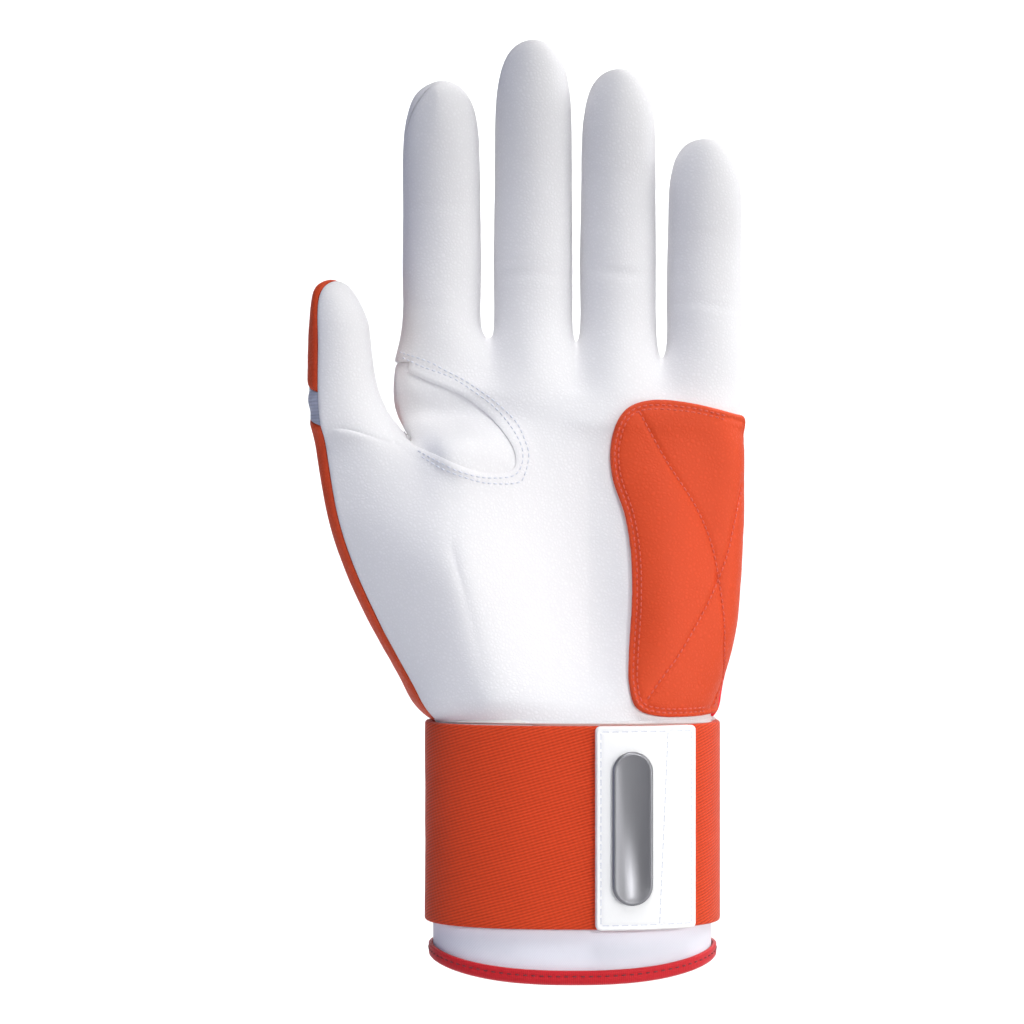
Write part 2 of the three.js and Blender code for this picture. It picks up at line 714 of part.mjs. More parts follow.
function tabGeometry() {
  const inner = 2 * CLEARANCE + BAND_THICKNESS;
  const from = turnAt(TAB_LEFT + TAB_WIDTH, inner + TAB_THICKNESS);
  const to = turnAt(TAB_LEFT, inner + TAB_THICKNESS);
  const turns = Array.from({ length: TAB_STEPS + 1 }, (_, i) => from + ((to - from) * i) / TAB_STEPS);
  return wristSweep(strapSection(inner, TAB_THICKNESS, BAND_BOTTOM, BAND_TOP, TAB_EDGE), turns, false);
}

// A blank metal plate with rounded ends, laid against the tab
function badgeGeometry() {
  const half = BADGE_WIDTH / 2 - BADGE_BEVEL;
  const straight = BADGE_HEIGHT / 2 - BADGE_BEVEL - half;
  const shape = new THREE.Shape();
  shape.absarc(0, straight, half, 0, Math.PI, false);
  shape.absarc(0, -straight, half, Math.PI, 2 * Math.PI, false);
  const geometry = new THREE.ExtrudeGeometry(shape, {
    depth: BADGE_THICKNESS - 2 * BADGE_BEVEL,
    bevelThickness: BADGE_BEVEL,
    bevelSize: BADGE_BEVEL,
    bevelSegments: 1,
    curveSegments: BADGE_END_STEPS,
  });
  return geometry.translate(0, 0, BADGE_BEVEL).rotateX(Math.PI / 2);
}

// A tube along the seam at the little finger edge, resting on the leather
function seamTube(radius) {
  const stand = PIPING_RADIUS + CLEARANCE;
  const path = edgeColumn.map((i) => surface.points[i].clone().addScaledVector(surface.normals[i], stand));
  const section = new THREE.Shape().absarc(0, 0, radius, 0, 2 * Math.PI, false);
  return new THREE.ExtrudeGeometry(section, {
    steps: 2 * path.length,
    curveSegments: PIPING_SIDES / 2,
    extrudePath: new THREE.CatmullRomCurve3(path),
  });
}

const WHITE_LEATHER = { color: 0xf3f2f4, roughness: 0.62 };
const ORANGE_LEATHER = { color: 0xe8552f, roughness: 0.55 };
const GREY_CLOTH = { color: 0xc9ccd8, roughness: 0.9 };
const BAND_CLOTH = { color: 0xe2522a, roughness: 0.85 };
const CUFF_WHITE = { color: 0xe9eaf4, roughness: 0.85 };
const RED_CLOTH = { color: 0xd4262e, roughness: 0.8 };
const TAB_WHITE = { color: 0xf6f6f6, roughness: 0.5 };
const BRUSHED_METAL = { color: 0x9a9a9c, roughness: 0.35, metalness: 1 };

const glove = new THREE.Group();

function addPiece(name, geometry, look) {
  const mesh = new THREE.Mesh(geometry, new THREE.MeshStandardMaterial(look));
  mesh.name = name;
  glove.add(mesh);
  return mesh;
}

const wall = (name, thickness) => wallGeometry(surface, (piece) => piece === name, 0, thickness);

addPiece("palm", palmGeometry(), WHITE_LEATHER);
addPiece("thumb_gusset", gussetGeometry(), WHITE_LEATHER);
addPiece("heel_pad", padGeometry(), ORANGE_LEATHER);
addPiece("back_panel", wall("back_panel", LEATHER), ORANGE_LEATHER);
addPiece("thumb_back_tip", wall("thumb_back_tip", LEATHER), ORANGE_LEATHER);
addPiece("thumb_knuckle_cloth", wall("thumb_knuckle_cloth", LEATHER), GREY_CLOTH);
for (const { name } of FINGERS) {
  addPiece(`finger_back_${name}`, wall(`finger_back_${name}`, LEATHER), WHITE_LEATHER);
}
addPiece("ulnar_piping", seamTube(PIPING_RADIUS), RED_CLOTH);
addPiece("cuff", wall("cuff", CUFF_CLOTH), CUFF_WHITE);
addPiece("cuff_binding", wristSweep(bindingSection, ALL_ROUND, true), RED_CLOTH);
addPiece(
  "wrist_band",
  wristSweep(strapSection(CLEARANCE, BAND_THICKNESS, BAND_BOTTOM, BAND_TOP, BAND_EDGE), ALL_ROUND, true),
  BAND_CLOTH,
);
addPiece("closure_tab", tabGeometry(), TAB_WHITE);

const badge = addPiece("badge_plate", badgeGeometry(), BRUSHED_METAL);
const tabFace = 2 * CLEARANCE + BAND_THICKNESS + TAB_THICKNESS;
const badgeTurn = turnAt(TAB_LEFT + BADGE_FROM_TAB_LEFT + BADGE_WIDTH / 2, tabFace);
const seat = wristPoint(badgeTurn, tabFace + CLEARANCE);
const tangent = wristPoint(badgeTurn - TURN_STEP, tabFace).sub(wristPoint(badgeTurn + TURN_STEP, tabFace));
badge.position.set(seat.x, seat.y, BAND_BOTTOM + BAND_HEIGHT / 2);
badge.rotation.z = Math.atan2(tangent.y, tangent.x);

export default glove;
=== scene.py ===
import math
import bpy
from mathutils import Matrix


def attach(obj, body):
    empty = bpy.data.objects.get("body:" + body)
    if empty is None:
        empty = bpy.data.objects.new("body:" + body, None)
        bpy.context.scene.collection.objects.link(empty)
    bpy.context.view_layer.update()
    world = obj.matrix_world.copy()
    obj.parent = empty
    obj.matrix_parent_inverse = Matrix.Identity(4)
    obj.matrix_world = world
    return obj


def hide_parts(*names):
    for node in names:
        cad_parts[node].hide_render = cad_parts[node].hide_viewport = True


bl_info = {
    "name": "Batting Glove",
    "version": (1, 0, 0),
    "blender": (4, 5, 0),
    "location": "View3D > Sidebar > Glove",
    "description": "Builds a left-hand batting glove in its worn form, and the stage it is seen on",
    "category": "Add Mesh",
}

import bmesh
import bpy
import numpy as np
from mathutils import Vector, noise
from mathutils.bvhtree import BVHTree
from mathutils.kdtree import KDTree

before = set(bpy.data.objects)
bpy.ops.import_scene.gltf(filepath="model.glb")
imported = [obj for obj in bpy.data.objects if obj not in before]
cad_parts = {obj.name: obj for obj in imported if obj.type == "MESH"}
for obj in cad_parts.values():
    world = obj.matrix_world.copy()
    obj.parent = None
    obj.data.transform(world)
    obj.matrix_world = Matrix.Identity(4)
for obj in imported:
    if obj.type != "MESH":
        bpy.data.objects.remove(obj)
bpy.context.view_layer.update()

MM = 0.001
FACES_SMOOTH_BELOW = math.radians(50)


def table(columns, rows):
    """Rows of values as dictionaries, keyed by the names of their columns."""
    return [dict(zip(columns.split(), row)) for row in rows]


# The hand form, in shares of the named sizes

# Fingers: centre line across the palm, length, width and the height they spring from
FINGERS = table("name across length width web seam", [
    ("index", -0.37, 0.863, 1.0, 1.0, 1.0),
    ("middle", -0.111, 1.0, 1.0, 1.0, 0.0),
    ("ring", 0.129, 0.916, 0.965, 0.994, 0.0),
    ("little", 0.373, 0.73, 0.95, 0.972, 0.0),
])

# Rings along a finger; seam is how far the side seam of the index finger turns to the palm, in degrees
FINGER_RINGS = table("up width depth seam", [
    (0.05, 1.02, 1.04, 0),
    (0.26, 1.02, 1.02, 0),
    (0.52, 1.0, 0.97, 0),
    (0.8, 0.955, 0.9, 14),
    (0.95, 0.65, 0.62, 40),
])

# Webs between the fingers
WEBS = [dict(across=-0.236, up=1.0), dict(across=0.009, up=0.994), dict(across=0.249, up=0.969)]

# Rings along the thumb from the crotch to the tip
THUMB_RINGS = table("up across forward width depth", [
    (0.13, -0.622, 1.0, 1.0, 1.0),
    (0.34, -0.644, 1.05, 0.84, 0.93),
    (0.66, -0.651, 1.15, 0.75, 0.85),
    (0.91, -0.669, 1.28, 0.5, 0.55),
])
THUMB_TIP = dict(across=-0.674, forward=1.32)
THUMB_TILT = 0.32
THUMB_WEB = dict(across=-0.466, forward=0.6)

# Rings of the palm between the finger bases and the thumb crotch
UPPER_ROWS = table("up droop left right front back groove", [
    (0.96, 0.04, -0.507, 0.482, 0.46, 0.44, 0.13),
    (0.916, 0.03, -0.516, 0.478, 0.5, 0.49, 0.03),
    (0.872, 0.015, -0.502, 0.474, 0.52, 0.53, 0.0),
])

# Rings of the palm from the thumb crotch down to the band, with their relief: ball of the thumb,
# heel, hollow, the dent at the crotch, and how far back the edge seam lies
LOWER_ROWS = table("up left split right front back lean thenar heel hollow pinch seam", [
    (0.715, -0.722, -0.443, 0.487, 0.5, 0.56, 1.0, 0.22, 0.04, 0.02, 0.35, 1.0),
    (0.585, -0.7, -0.4, 0.486, 0.5, 0.59, 0.85, 0.3, 0.14, 0.05, 0.12, 1.0),
    (0.46, -0.668, -0.37, 0.481, 0.52, 0.62, 0.6, 0.44, 0.22, 0.07, 0.0, 1.0),
    (0.335, -0.615, -0.34, 0.471, 0.56, 0.66, 0.4, 0.42, 0.28, 0.07, 0.0, 1.0),
    (0.215, -0.552, -0.31, 0.452, 0.63, 0.71, 0.22, 0.33, 0.27, 0.05, 0.0, 0.8),
    (0.105, -0.486, -0.28, 0.413, 0.79, 0.82, 0.1, 0.18, 0.17, 0.02, 0.0, 0.3),
    (0.04, -0.447, -0.26, 0.395, 0.9, 0.9, 0.0, 0.05, 0.05, 0.0, 0.0, 0.0),
])
THENAR = dict(place=0.27, spread=0.17)
HEEL = dict(place=0.83, spread=0.15)
HOLLOW = dict(place=0.6, spread=0.13)
LEAN_REACH, LEAN_POWER, CURL_POWER = 0.6, 1.2, 1.8

PALM_COLUMNS = [0.1, 0.243, 0.372, 0.5, 0.622, 0.748, 0.872, 0.96]
INDEX_SIDE, THUMB_SEAM, EDGE_BEHIND = 0.045, 0.028, 0.985
SIDE_ROUND = 2.4
HEM_POWER = 1.5
FIT_ROUNDS = 8
WRIST_COLUMNS = 24
TIP_SEAM_FORWARD, TIP_SEAM_DROP = 1.6 * MM, 0.15 * MM

# How many times the cage is split for the outer side of a piece, a finer one, and its inner side
OUTSIDE, FINE, INSIDE = 4, 5, 2

# Edge of the palm leather round the gusset, and edge of the heel pad from its top right corner
GUSSET_EDGE = [(-0.478, 0.947), (-0.41, 0.929), (-0.309, 0.904), (-0.22, 0.866), (-0.165, 0.822),
               (-0.168, 0.789), (-0.25, 0.785), (-0.36, 0.806), (-0.436, 0.827)]
GUSSET_SIDE = -0.482
PAD_EDGE = [(0.46, 0.877), (0.33, 0.893), (0.2, 0.896), (0.135, 0.876), (0.105, 0.83), (0.11, 0.777),
            (0.145, 0.718), (0.162, 0.655), (0.164, 0.585), (0.155, 0.51), (0.153, 0.46),
            (0.175, 0.423), (0.25, 0.41), (0.38, 0.41)]

# Sewn lines as the camera sees them on the plane y = 0: across and up in millimetres
GUSSET_INNER_ROW = [(-46.9, 169.4), (-41.1, 166.7), (-36.2, 165.0), (-32.0, 163.1), (-26.0, 159.2),
                    (-20.8, 155.1), (-16.6, 149.9), (-14.2, 145.5), (-13.6, 142.0), (-14.6, 138.3),
                    (-17.5, 136.4), (-24.6, 136.3), (-31.5, 138.1), (-36.7, 140.6), (-42.8, 143.8)]
GUSSET_OUTER_ROW = [(-47.6, 170.8), (-39.7, 168.2), (-35.1, 165.8), (-30.4, 163.4), (-26.0, 160.6),
                    (-20.8, 156.8), (-15.5, 151.6), (-13.1, 146.7), (-12.0, 142.5), (-13.1, 137.2),
                    (-15.3, 134.8), (-23.8, 134.8), (-30.7, 136.7), (-36.2, 138.9), (-41.7, 142.2)]
QUILT_DOWN = [(18.3, 154.6), (25.7, 141.1), (33.6, 128.9), (38.1, 118.5), (40.3, 108.1),
              (41.7, 97.6), (41.8, 88.0), (41.4, 81.4), (38.9, 73.5)]
QUILT_UP = [(46.6, 133.9), (44.1, 121.8), (42.6, 115.2), (40.2, 108.4), (36.2, 99.6), (29.6, 88.0),
            (24.5, 80.9), (20.5, 75.1)]

# Creases where the fingers bend: which finger, how far up it, how deep in millimetres, how wide
FINGER_CREASES = table("finger up deep wide", [
    ("index", 0.12, 0.16, 1.6),
    ("index", 0.5, 0.26, 1.2),
    ("index", 0.56, 0.13, 1.0),
    ("middle", 0.2, 0.35, 1.3),
    ("middle", 0.25, 0.16, 1.0),
    ("middle", 0.6, 0.19, 1.2),
    ("ring", 0.25, 0.35, 1.3),
    ("ring", 0.3, 0.16, 1.0),
    ("ring", 0.62, 0.16, 1.2),
    ("little", 0.22, 0.32, 1.3),
    ("little", 0.28, 0.16, 1.0),
    ("little", 0.55, 0.16, 1.2),
])


def length(name, description, millimetres):
    """A length that a user may change, kept in metres."""
    return bpy.props.FloatProperty(
        name=name, description=description, default=millimetres * MM, min=0.0, unit="LENGTH",
        subtype="DISTANCE", precision=5,
    )


class GloveSizes(bpy.types.PropertyGroup):
    """Sizes of the hand form and of what is sewn on it."""

    web_height: length("Web height", "From the wrist opening to the webs of the fingers", 175)
    palm_width: length("Palm width", "Across the palm at the finger roots", 97)
    palm_depth: length("Palm depth", "Thickness of the hand form at the middle of the palm", 27)
    finger_length: length("Finger length", "Length of the middle finger", 80)
    finger_width: length("Finger width", "Width of the middle finger", 21.4)
    finger_depth: length("Finger depth", "Depth of the middle finger", 18.6)
    finger_curl: length("Finger curl", "How far a long finger's tip leans to the palm side", 13)
    crotch_height: length("Crotch height", "From the wrist opening to the crotch of the thumb", 146.6)
    thumb_length: length("Thumb length", "From the crotch to the tip of the thumb", 43)
    thumb_width: length("Thumb width", "Width of the thumb at its root", 23)
    thumb_depth: length("Thumb depth", "Depth of the thumb at its root", 21)
    thumb_forward: length("Thumb forward", "How far the thumb stands to the palm side", 12)
    wrist_width: length("Wrist width", "Across the wrist under the band", 76.4)
    wrist_depth: length("Wrist depth", "Through the wrist under the band", 51)
    leather: length("Leather", "Thickness of the leather", 1.2)
    cuff_cloth: length("Cuff cloth", "Thickness of the cuff's padded knit", 2)
    clearance: length("Clearance", "Room kept between two pieces", 0.3)
    pad_thickness: length("Pad thickness", "Thickness of the heel pad", 1.7)
    band_bottom: length("Band bottom", "Height of the band's lower edge", 15.2)
    band_height: length("Band height", "Width of the elastic band", 54.4)
    band_thickness: length("Band thickness", "Thickness of the elastic band", 2)
    cuff_tuck: length("Cuff tuck", "How far the cuff reaches up under the band's top edge", 6.6)
    hem_dip: length("Hem dip", "How much lower the hem hangs on the palm side", 4.9)
    binding_height: length("Binding height", "Width of the hem binding", 4.1)
    binding_cloth: length("Binding cloth", "Thickness of the binding tape", 1)
    tab_width: length("Tab width", "Width of the closure tab", 27.3)
    tab_left: length("Tab left", "From the middle of the wrist to the tab's left edge", 5.7)
    tab_thickness: length("Tab thickness", "Thickness of the closure tab", 2.1)
    badge_width: length("Plate width", "Width of the blank plate", 11)
    badge_height: length("Plate height", "Height of the blank plate", 41)
    badge_thickness: length("Plate thickness", "Thickness of the blank plate", 1.2)
    badge_bevel: length("Plate bevel", "Width of the plate's polished bevel", 0.4)
    badge_from_tab: length("Plate inset", "From the tab's left edge to the plate", 4.2)
    piping_radius: length("Piping radius", "Radius of the piping on the edge seam", 0.9)
    stitch_length: length("Stitch length", "From one stitch to the next on the leather", 1.7)
    thread: length("Thread", "Thickness of the sewing thread", 0.42)


def colour(name, description, hex_value):
    """An sRGB colour that a user may change, as a hex value."""
    return bpy.props.StringProperty(name=name, description=description, default=hex_value, maxlen=7)


class GloveColours(bpy.types.PropertyGroup):
    """sRGB colours of the glove's finishes and of its stage."""

    white_leather: colour("White leather", "Palm, gusset and backs of the fingers", "#F2F1F3")
    orange_leather: colour("Orange leather", "Heel pad, back of the hand and of the thumb", "#DE4A1E")
    suede: colour("Suede", "Flesh side of the leather, inside the glove", "#D9D6D2")
    knuckle_cloth: colour("Knuckle cloth", "Stretch cloth over the thumb's knuckle", "#B9BDD0")
    piping: colour("Piping", "Piping on the edge seam", "#F02A36")
    cuff_cloth: colour("Cuff", "Knit of the cuff", "#ECEDF6")
    binding: colour("Binding", "Tape folded over the hem", "#D4202A")
    band: colour("Band", "Elastic of the wrist band", "#E4481F")
    tab: colour("Tab", "Face of the closure tab", "#F7F7F7")
    steel: colour("Plate", "Brushed steel of the blank plate", "#8E8E92")
    white_thread: colour("White thread", "Thread on the palm and the tab", "#DADCE6")
    orange_thread: colour("Orange thread", "Thread on the heel pad", "#D85A44")
    red_thread: colour("Red thread", "Thread on the hem binding", "#7E1A24")
    stage: colour("Stage", "Floor and backdrop", "#FFFFFF")


def sizes():
    return bpy.context.scene.glove_sizes


def colours():
    return bpy.context.scene.glove_colours


# Materials


def linear(hex_value):
    """Turns an sRGB hex value into the linear colour that a shader takes."""
    channels = [int(hex_value[i:i + 2], 16) / 255 for i in (1, 3, 5)]
    return (*[c / 12.92 if c <= 0.04045 else ((c + 0.055) / 1.055) ** 2.4 for c in channels], 1.0)


def add_node(tree, kind, settings=None, links=None):
    """Adds a node. A setting is one of its properties or sockets, a link is a socket and its source."""
    node = tree.nodes.new(kind)
    for key, value in (settings or {}).items():
        if isinstance(key, int) or key in node.inputs:
            node.inputs[key].default_value = value
        else:
            setattr(node, key, value)
    for key, source in (links or {}).items():
        tree.links.new(source, node.inputs[key])
    return node


def new_material(name):
    """An empty material, its tree and its output."""
    material = bpy.data.materials.new(name)
    material.use_nodes = True
    tree = material.node_tree
    tree.nodes.clear()
    return material, tree, add_node(tree, "ShaderNodeOutputMaterial")


def grained_leather(name, base, grain, roughness, relief, mottle_and_painted_shade):
    """Leather with its pebbled grain, at grain metres from one pebble to the next. Its colour is mottled at
    random and darkened between the pebbles with painted shade.
    """
    material, tree, output = new_material(name)
    place = add_node(tree, "ShaderNodeTexCoord").outputs["Object"]
    drift = add_node(tree, "ShaderNodeTexNoise", {"Scale": 0.35 / grain, "Detail": 2.0},
                     {"Vector": place})
    drifted = add_node(tree, "ShaderNodeVectorMath", {"operation": "MULTIPLY_ADD", 1: (grain,) * 3},
                       {0: drift.outputs["Color"], 2: place})
    pebbles = add_node(tree, "ShaderNodeTexVoronoi",
                       {"feature": "DISTANCE_TO_EDGE", "Scale": 1 / grain, "Randomness": 1.0},
                       {"Vector": drifted.outputs[0]})
    crowns = add_node(tree, "ShaderNodeMapRange",
                      {"interpolation_type": "SMOOTHSTEP", "From Min": 0.0, "From Max": 0.5},
                      {"Value": pebbles.outputs["Distance"]})
    pores = add_node(tree, "ShaderNodeTexNoise", {"Scale": 2.6 / grain, "Detail": 3.0}, {"Vector": place})
    height = add_node(tree, "ShaderNodeMath", {"operation": "MULTIPLY_ADD", 1: 0.35},
                      {0: pores.outputs["Fac"], 2: crowns.outputs["Result"]})
    wrinkles = add_node(tree, "ShaderNodeTexNoise",
                        {"Scale": 0.16 / grain, "Detail": 4.0, "Roughness": 0.6}, {"Vector": place})
    folded = add_node(tree, "ShaderNodeBump", {"Strength": 0.35, "Distance": 3 * relief},
                      {"Height": wrinkles.outputs["Fac"]})
    bump = add_node(tree, "ShaderNodeBump", {"Strength": 0.7, "Distance": relief},
                    {"Height": height.outputs[0], "Normal": folded.outputs["Normal"]})
    patches = add_node(tree, "ShaderNodeTexNoise", {"Scale": 45.0, "Detail": 3.0}, {"Vector": place})
    worn = add_node(tree, "ShaderNodeMapRange", {"To Min": 1.0 - mottle_and_painted_shade, "To Max": 1.0},
                    {"Value": patches.outputs["Fac"]})
    # Painted shade: the colour darkens between the pebbles, where shade falls, by twice the mottle share
    painted_valley_shade = add_node(tree, "ShaderNodeMapRange", {"To Min": 1.0 - 2 * mottle_and_painted_shade, "To Max": 1.0},
                       {"Value": crowns.outputs["Result"]})
    shade = add_node(tree, "ShaderNodeMath", {"operation": "MULTIPLY"},
                     {0: worn.outputs["Result"], 1: painted_valley_shade.outputs["Result"]})
    # Base colour times the random mottle and the painted shade between the pebbles
    dyed_and_painted_shade = add_node(tree, "ShaderNodeVectorMath", {"operation": "SCALE", 0: linear(base)[:3]},
                    {"Scale": shade.outputs[0]})
    dull = add_node(tree, "ShaderNodeMapRange", {"To Min": roughness + 0.12, "To Max": roughness},
                    {"Value": crowns.outputs["Result"]})
    shader = add_node(tree, "ShaderNodeBsdfPrincipled", {"IOR": 1.5, "Specular IOR Level": 0.32},
                      {"Base Color": dyed_and_painted_shade.outputs[0], "Roughness": dull.outputs["Result"],
                       "Normal": bump.outputs["Normal"]})
    tree.links.new(shader.outputs[0], output.inputs["Surface"])
    return material


def white_goatskin():
    # Goatskin, drum dyed and left grain side out: a fine even pebble about 1 mm across, half matt
    return grained_leather("white_goatskin_grain_side", colours().white_leather, 0.95 * MM, 0.5,
                           0.055 * MM, 0.03)


def orange_embossed_leather():
    # Embossed split leather with a dyed top coat: a coarser pebble of 1.2 mm with a satin shine
    return grained_leather("orange_embossed_leather", colours().orange_leather, 1.05 * MM, 0.5,
                           0.11 * MM, 0.04)


def fine_material(name, kind, texture, strength, relief, shader, dull=None, drawn=None):
    """A material whose one fine texture raises its surface by relief metres. It may also spread the
    roughness between the two values of dull, and be drawn out along the axes."""
    material, tree, output = new_material(name)
    place = add_node(tree, "ShaderNodeTexCoord").outputs["Object"]
    if drawn:
        place = add_node(tree, "ShaderNodeMapping", {"Scale": drawn}, {"Vector": place}).outputs[0]
    fine = add_node(tree, kind, texture, {"Vector": place}).outputs["Fac"]
    bump = add_node(tree, "ShaderNodeBump", {"Strength": strength, "Distance": relief}, {"Height": fine})
    links = {"Normal": bump.outputs["Normal"]}
    if dull:
        spread = add_node(tree, "ShaderNodeMapRange", {"To Min": dull[0], "To Max": dull[1]},
                          {"Value": fine})
        links["Roughness"] = spread.outputs["Result"]
    surface = add_node(tree, "ShaderNodeBsdfPrincipled", shader, links)
    tree.links.new(surface.outputs[0], output.inputs["Surface"])
    return material


def suede():
    # Flesh side of the leather, buffed: short fibres, no shine
    return fine_material(
        "buffed_suede", "ShaderNodeTexNoise", {"Scale": 1 / (0.5 * MM), "Detail": 3.0}, 0.5, 0.1 * MM,
        {"Base Color": linear(colours().suede), "Roughness": 0.95, "Sheen Weight": 0.25})


def white_tab_film():
    # Polyurethane-coated microfibre, calendered: smooth, with a faint fine grain and a low shine
    return fine_material(
        "white_coated_microfibre", "ShaderNodeTexNoise", {"Scale": 1 / (0.6 * MM), "Detail": 4.0},
        0.4, 0.03 * MM,
        {"Base Color": linear(colours().tab), "IOR": 1.5, "Specular IOR Level": 0.45}, (0.42, 0.55))


def brushed_steel():
    # Stainless steel plate, brushed along its length: fine streaks that spread the light sideways
    return fine_material(
        "stainless_steel_brushed", "ShaderNodeTexNoise", {"Scale": 1 / (0.3 * MM), "Detail": 4.0},
        0.35, 0.01 * MM, {"Base Color": linear(colours().steel), "Metallic": 1.0}, (0.36, 0.5),
        drawn=(1.0, 1.0, 0.02))


def bonded_thread(name, base):
    # Bonded polyester thread: plies twisted at a steep angle, with a slight waxy shine
    return fine_material(
        name, "ShaderNodeTexWave",
        {"bands_direction": "DIAGONAL", "Scale": ribs_scale(0.3 * MM), "Distortion": 0.5},
        0.5, 0.04 * MM, {"Base Color": linear(base), "Roughness": 0.55, "Sheen Weight": 0.1})


def painted_backdrop():
    # Matt emulsion paint, rolled: white, with no shine
    return fine_material(
        "matt_white_emulsion", "ShaderNodeTexNoise", {"Scale": 400.0, "Detail": 3.0}, 0.1, 0.1 * MM,
        {"Base Color": linear(colours().stage), "Roughness": 0.95})


def ribs_scale(pitch):
    """Scale at which Blender's wave bands stand pitch metres apart."""
    return math.tau / (20 * pitch)


# Cloths: their colour, ribs and cross threads in millimetres apart, the ribs' angle in degrees to the
# cloth's length, their depth in millimetres, roughness, sheen and how much painted shade darkens the hollows
CLOTHS = {
    # Woven polyester elastic: twill ribs that climb to the right at a shallow angle; the flat map runs
    # to the left as seen from the palm, so the angle is negative
    "orange_woven_elastic": dict(dye="band", rib=0.8, cross=1.3, angle=-17, depth=0.16,
                                 rough=0.8, sheen=0.15, shade=0.32),
    # Fine polyester jersey over thin foam: its loops are finer than a pixel, so they are drawn larger
    # and stay faint; the surface is matt with a soft bloom
    "white_polyester_jersey": dict(dye="cuff_cloth", rib=0.6, cross=0.6, angle=45, depth=0.03,
                                   rough=0.85, sheen=0.3, shade=0.06),
    # Knitted elastane: fine upright ribs with a slight sheen
    "grey_knitted_elastane": dict(dye="knuckle_cloth", rib=0.9, cross=0.7, angle=0, depth=0.1,
                                  rough=0.75, sheen=0.3, shade=0.2),
    # Woven nylon tape: close cross ribs, a little shinier than the elastic
    "red_nylon_tape": dict(dye="binding", rib=0.55, cross=0.7, angle=90, depth=0.06,
                           rough=0.6, sheen=0.2, shade=0.18),
    # Cord covered with bias-cut satin: smooth, with a soft shine along its length
    "red_satin_piping": dict(dye="piping", rib=0.5, cross=0.5, angle=45, depth=0.03,
                             rough=0.5, sheen=0.2, shade=0.1),
}
CROSS_SHARE = 0.18


def woven_cloth(name):
    """One of the cloths. It follows the piece's own flat map, so its ribs run along it."""
    cloth = CLOTHS[name]
    material, tree, output = new_material(name)
    flat = add_node(tree, "ShaderNodeUVMap", {"uv_map": "flat"}).outputs["UV"]
    laid = add_node(tree, "ShaderNodeMapping", {"Rotation": (0.0, 0.0, -math.radians(cloth["angle"]))},
                    {"Vector": flat}).outputs[0]
    ribs, picks = (
        add_node(tree, "ShaderNodeTexWave",
                 {"bands_direction": way, "Scale": ribs_scale(cloth[key] * MM), "Distortion": bent,
                  "Detail": 1.0, "Detail Scale": 0.7}, {"Vector": laid}).outputs["Fac"]
        for way, key, bent in (("Y", "rib", 0.6), ("X", "cross", 0.5)))
    raised = add_node(tree, "ShaderNodeMath", {"operation": "MULTIPLY_ADD", 1: CROSS_SHARE},
                      {0: picks, 2: ribs}).outputs[0]
    bump = add_node(tree, "ShaderNodeBump", {"Strength": 0.8, "Distance": cloth["depth"] * MM},
                    {"Height": raised})
    # Painted shade: the colour darkens in the hollows between the threads, by the cloth's shade share
    dark = add_node(tree, "ShaderNodeMapRange",
                    {"From Max": 1 + CROSS_SHARE, "To Min": 1.0 - cloth["shade"], "To Max": 1.0},
                    {"Value": raised})
    dyed_and_painted_shade = add_node(tree, "ShaderNodeVectorMath",
                    {"operation": "SCALE", 0: linear(getattr(colours(), cloth["dye"]))[:3]},
                    {"Scale": dark.outputs["Result"]})
    shader = add_node(tree, "ShaderNodeBsdfPrincipled",
                      {"Roughness": cloth["rough"], "Sheen Weight": cloth["sheen"],
                       "Sheen Roughness": 0.4, "Specular IOR Level": 0.25},
                      {"Base Color": dyed_and_painted_shade.outputs[0], "Normal": bump.outputs["Normal"]})
    tree.links.new(shader.outputs[0], output.inputs["Surface"])
    return material


# The smooth hand form


def roundness(u):
    """Half depth of a rounded section at a share u of its width."""
    return max(0.0, 1 - abs(2 * u - 1) ** SIDE_ROUND) ** (1 / SIDE_ROUND)


def bulge(u, shape):
    """Height of a soft bulge at a share u of the width."""
    return math.exp(-(((u - shape["place"]) / shape["spread"]) ** 2))


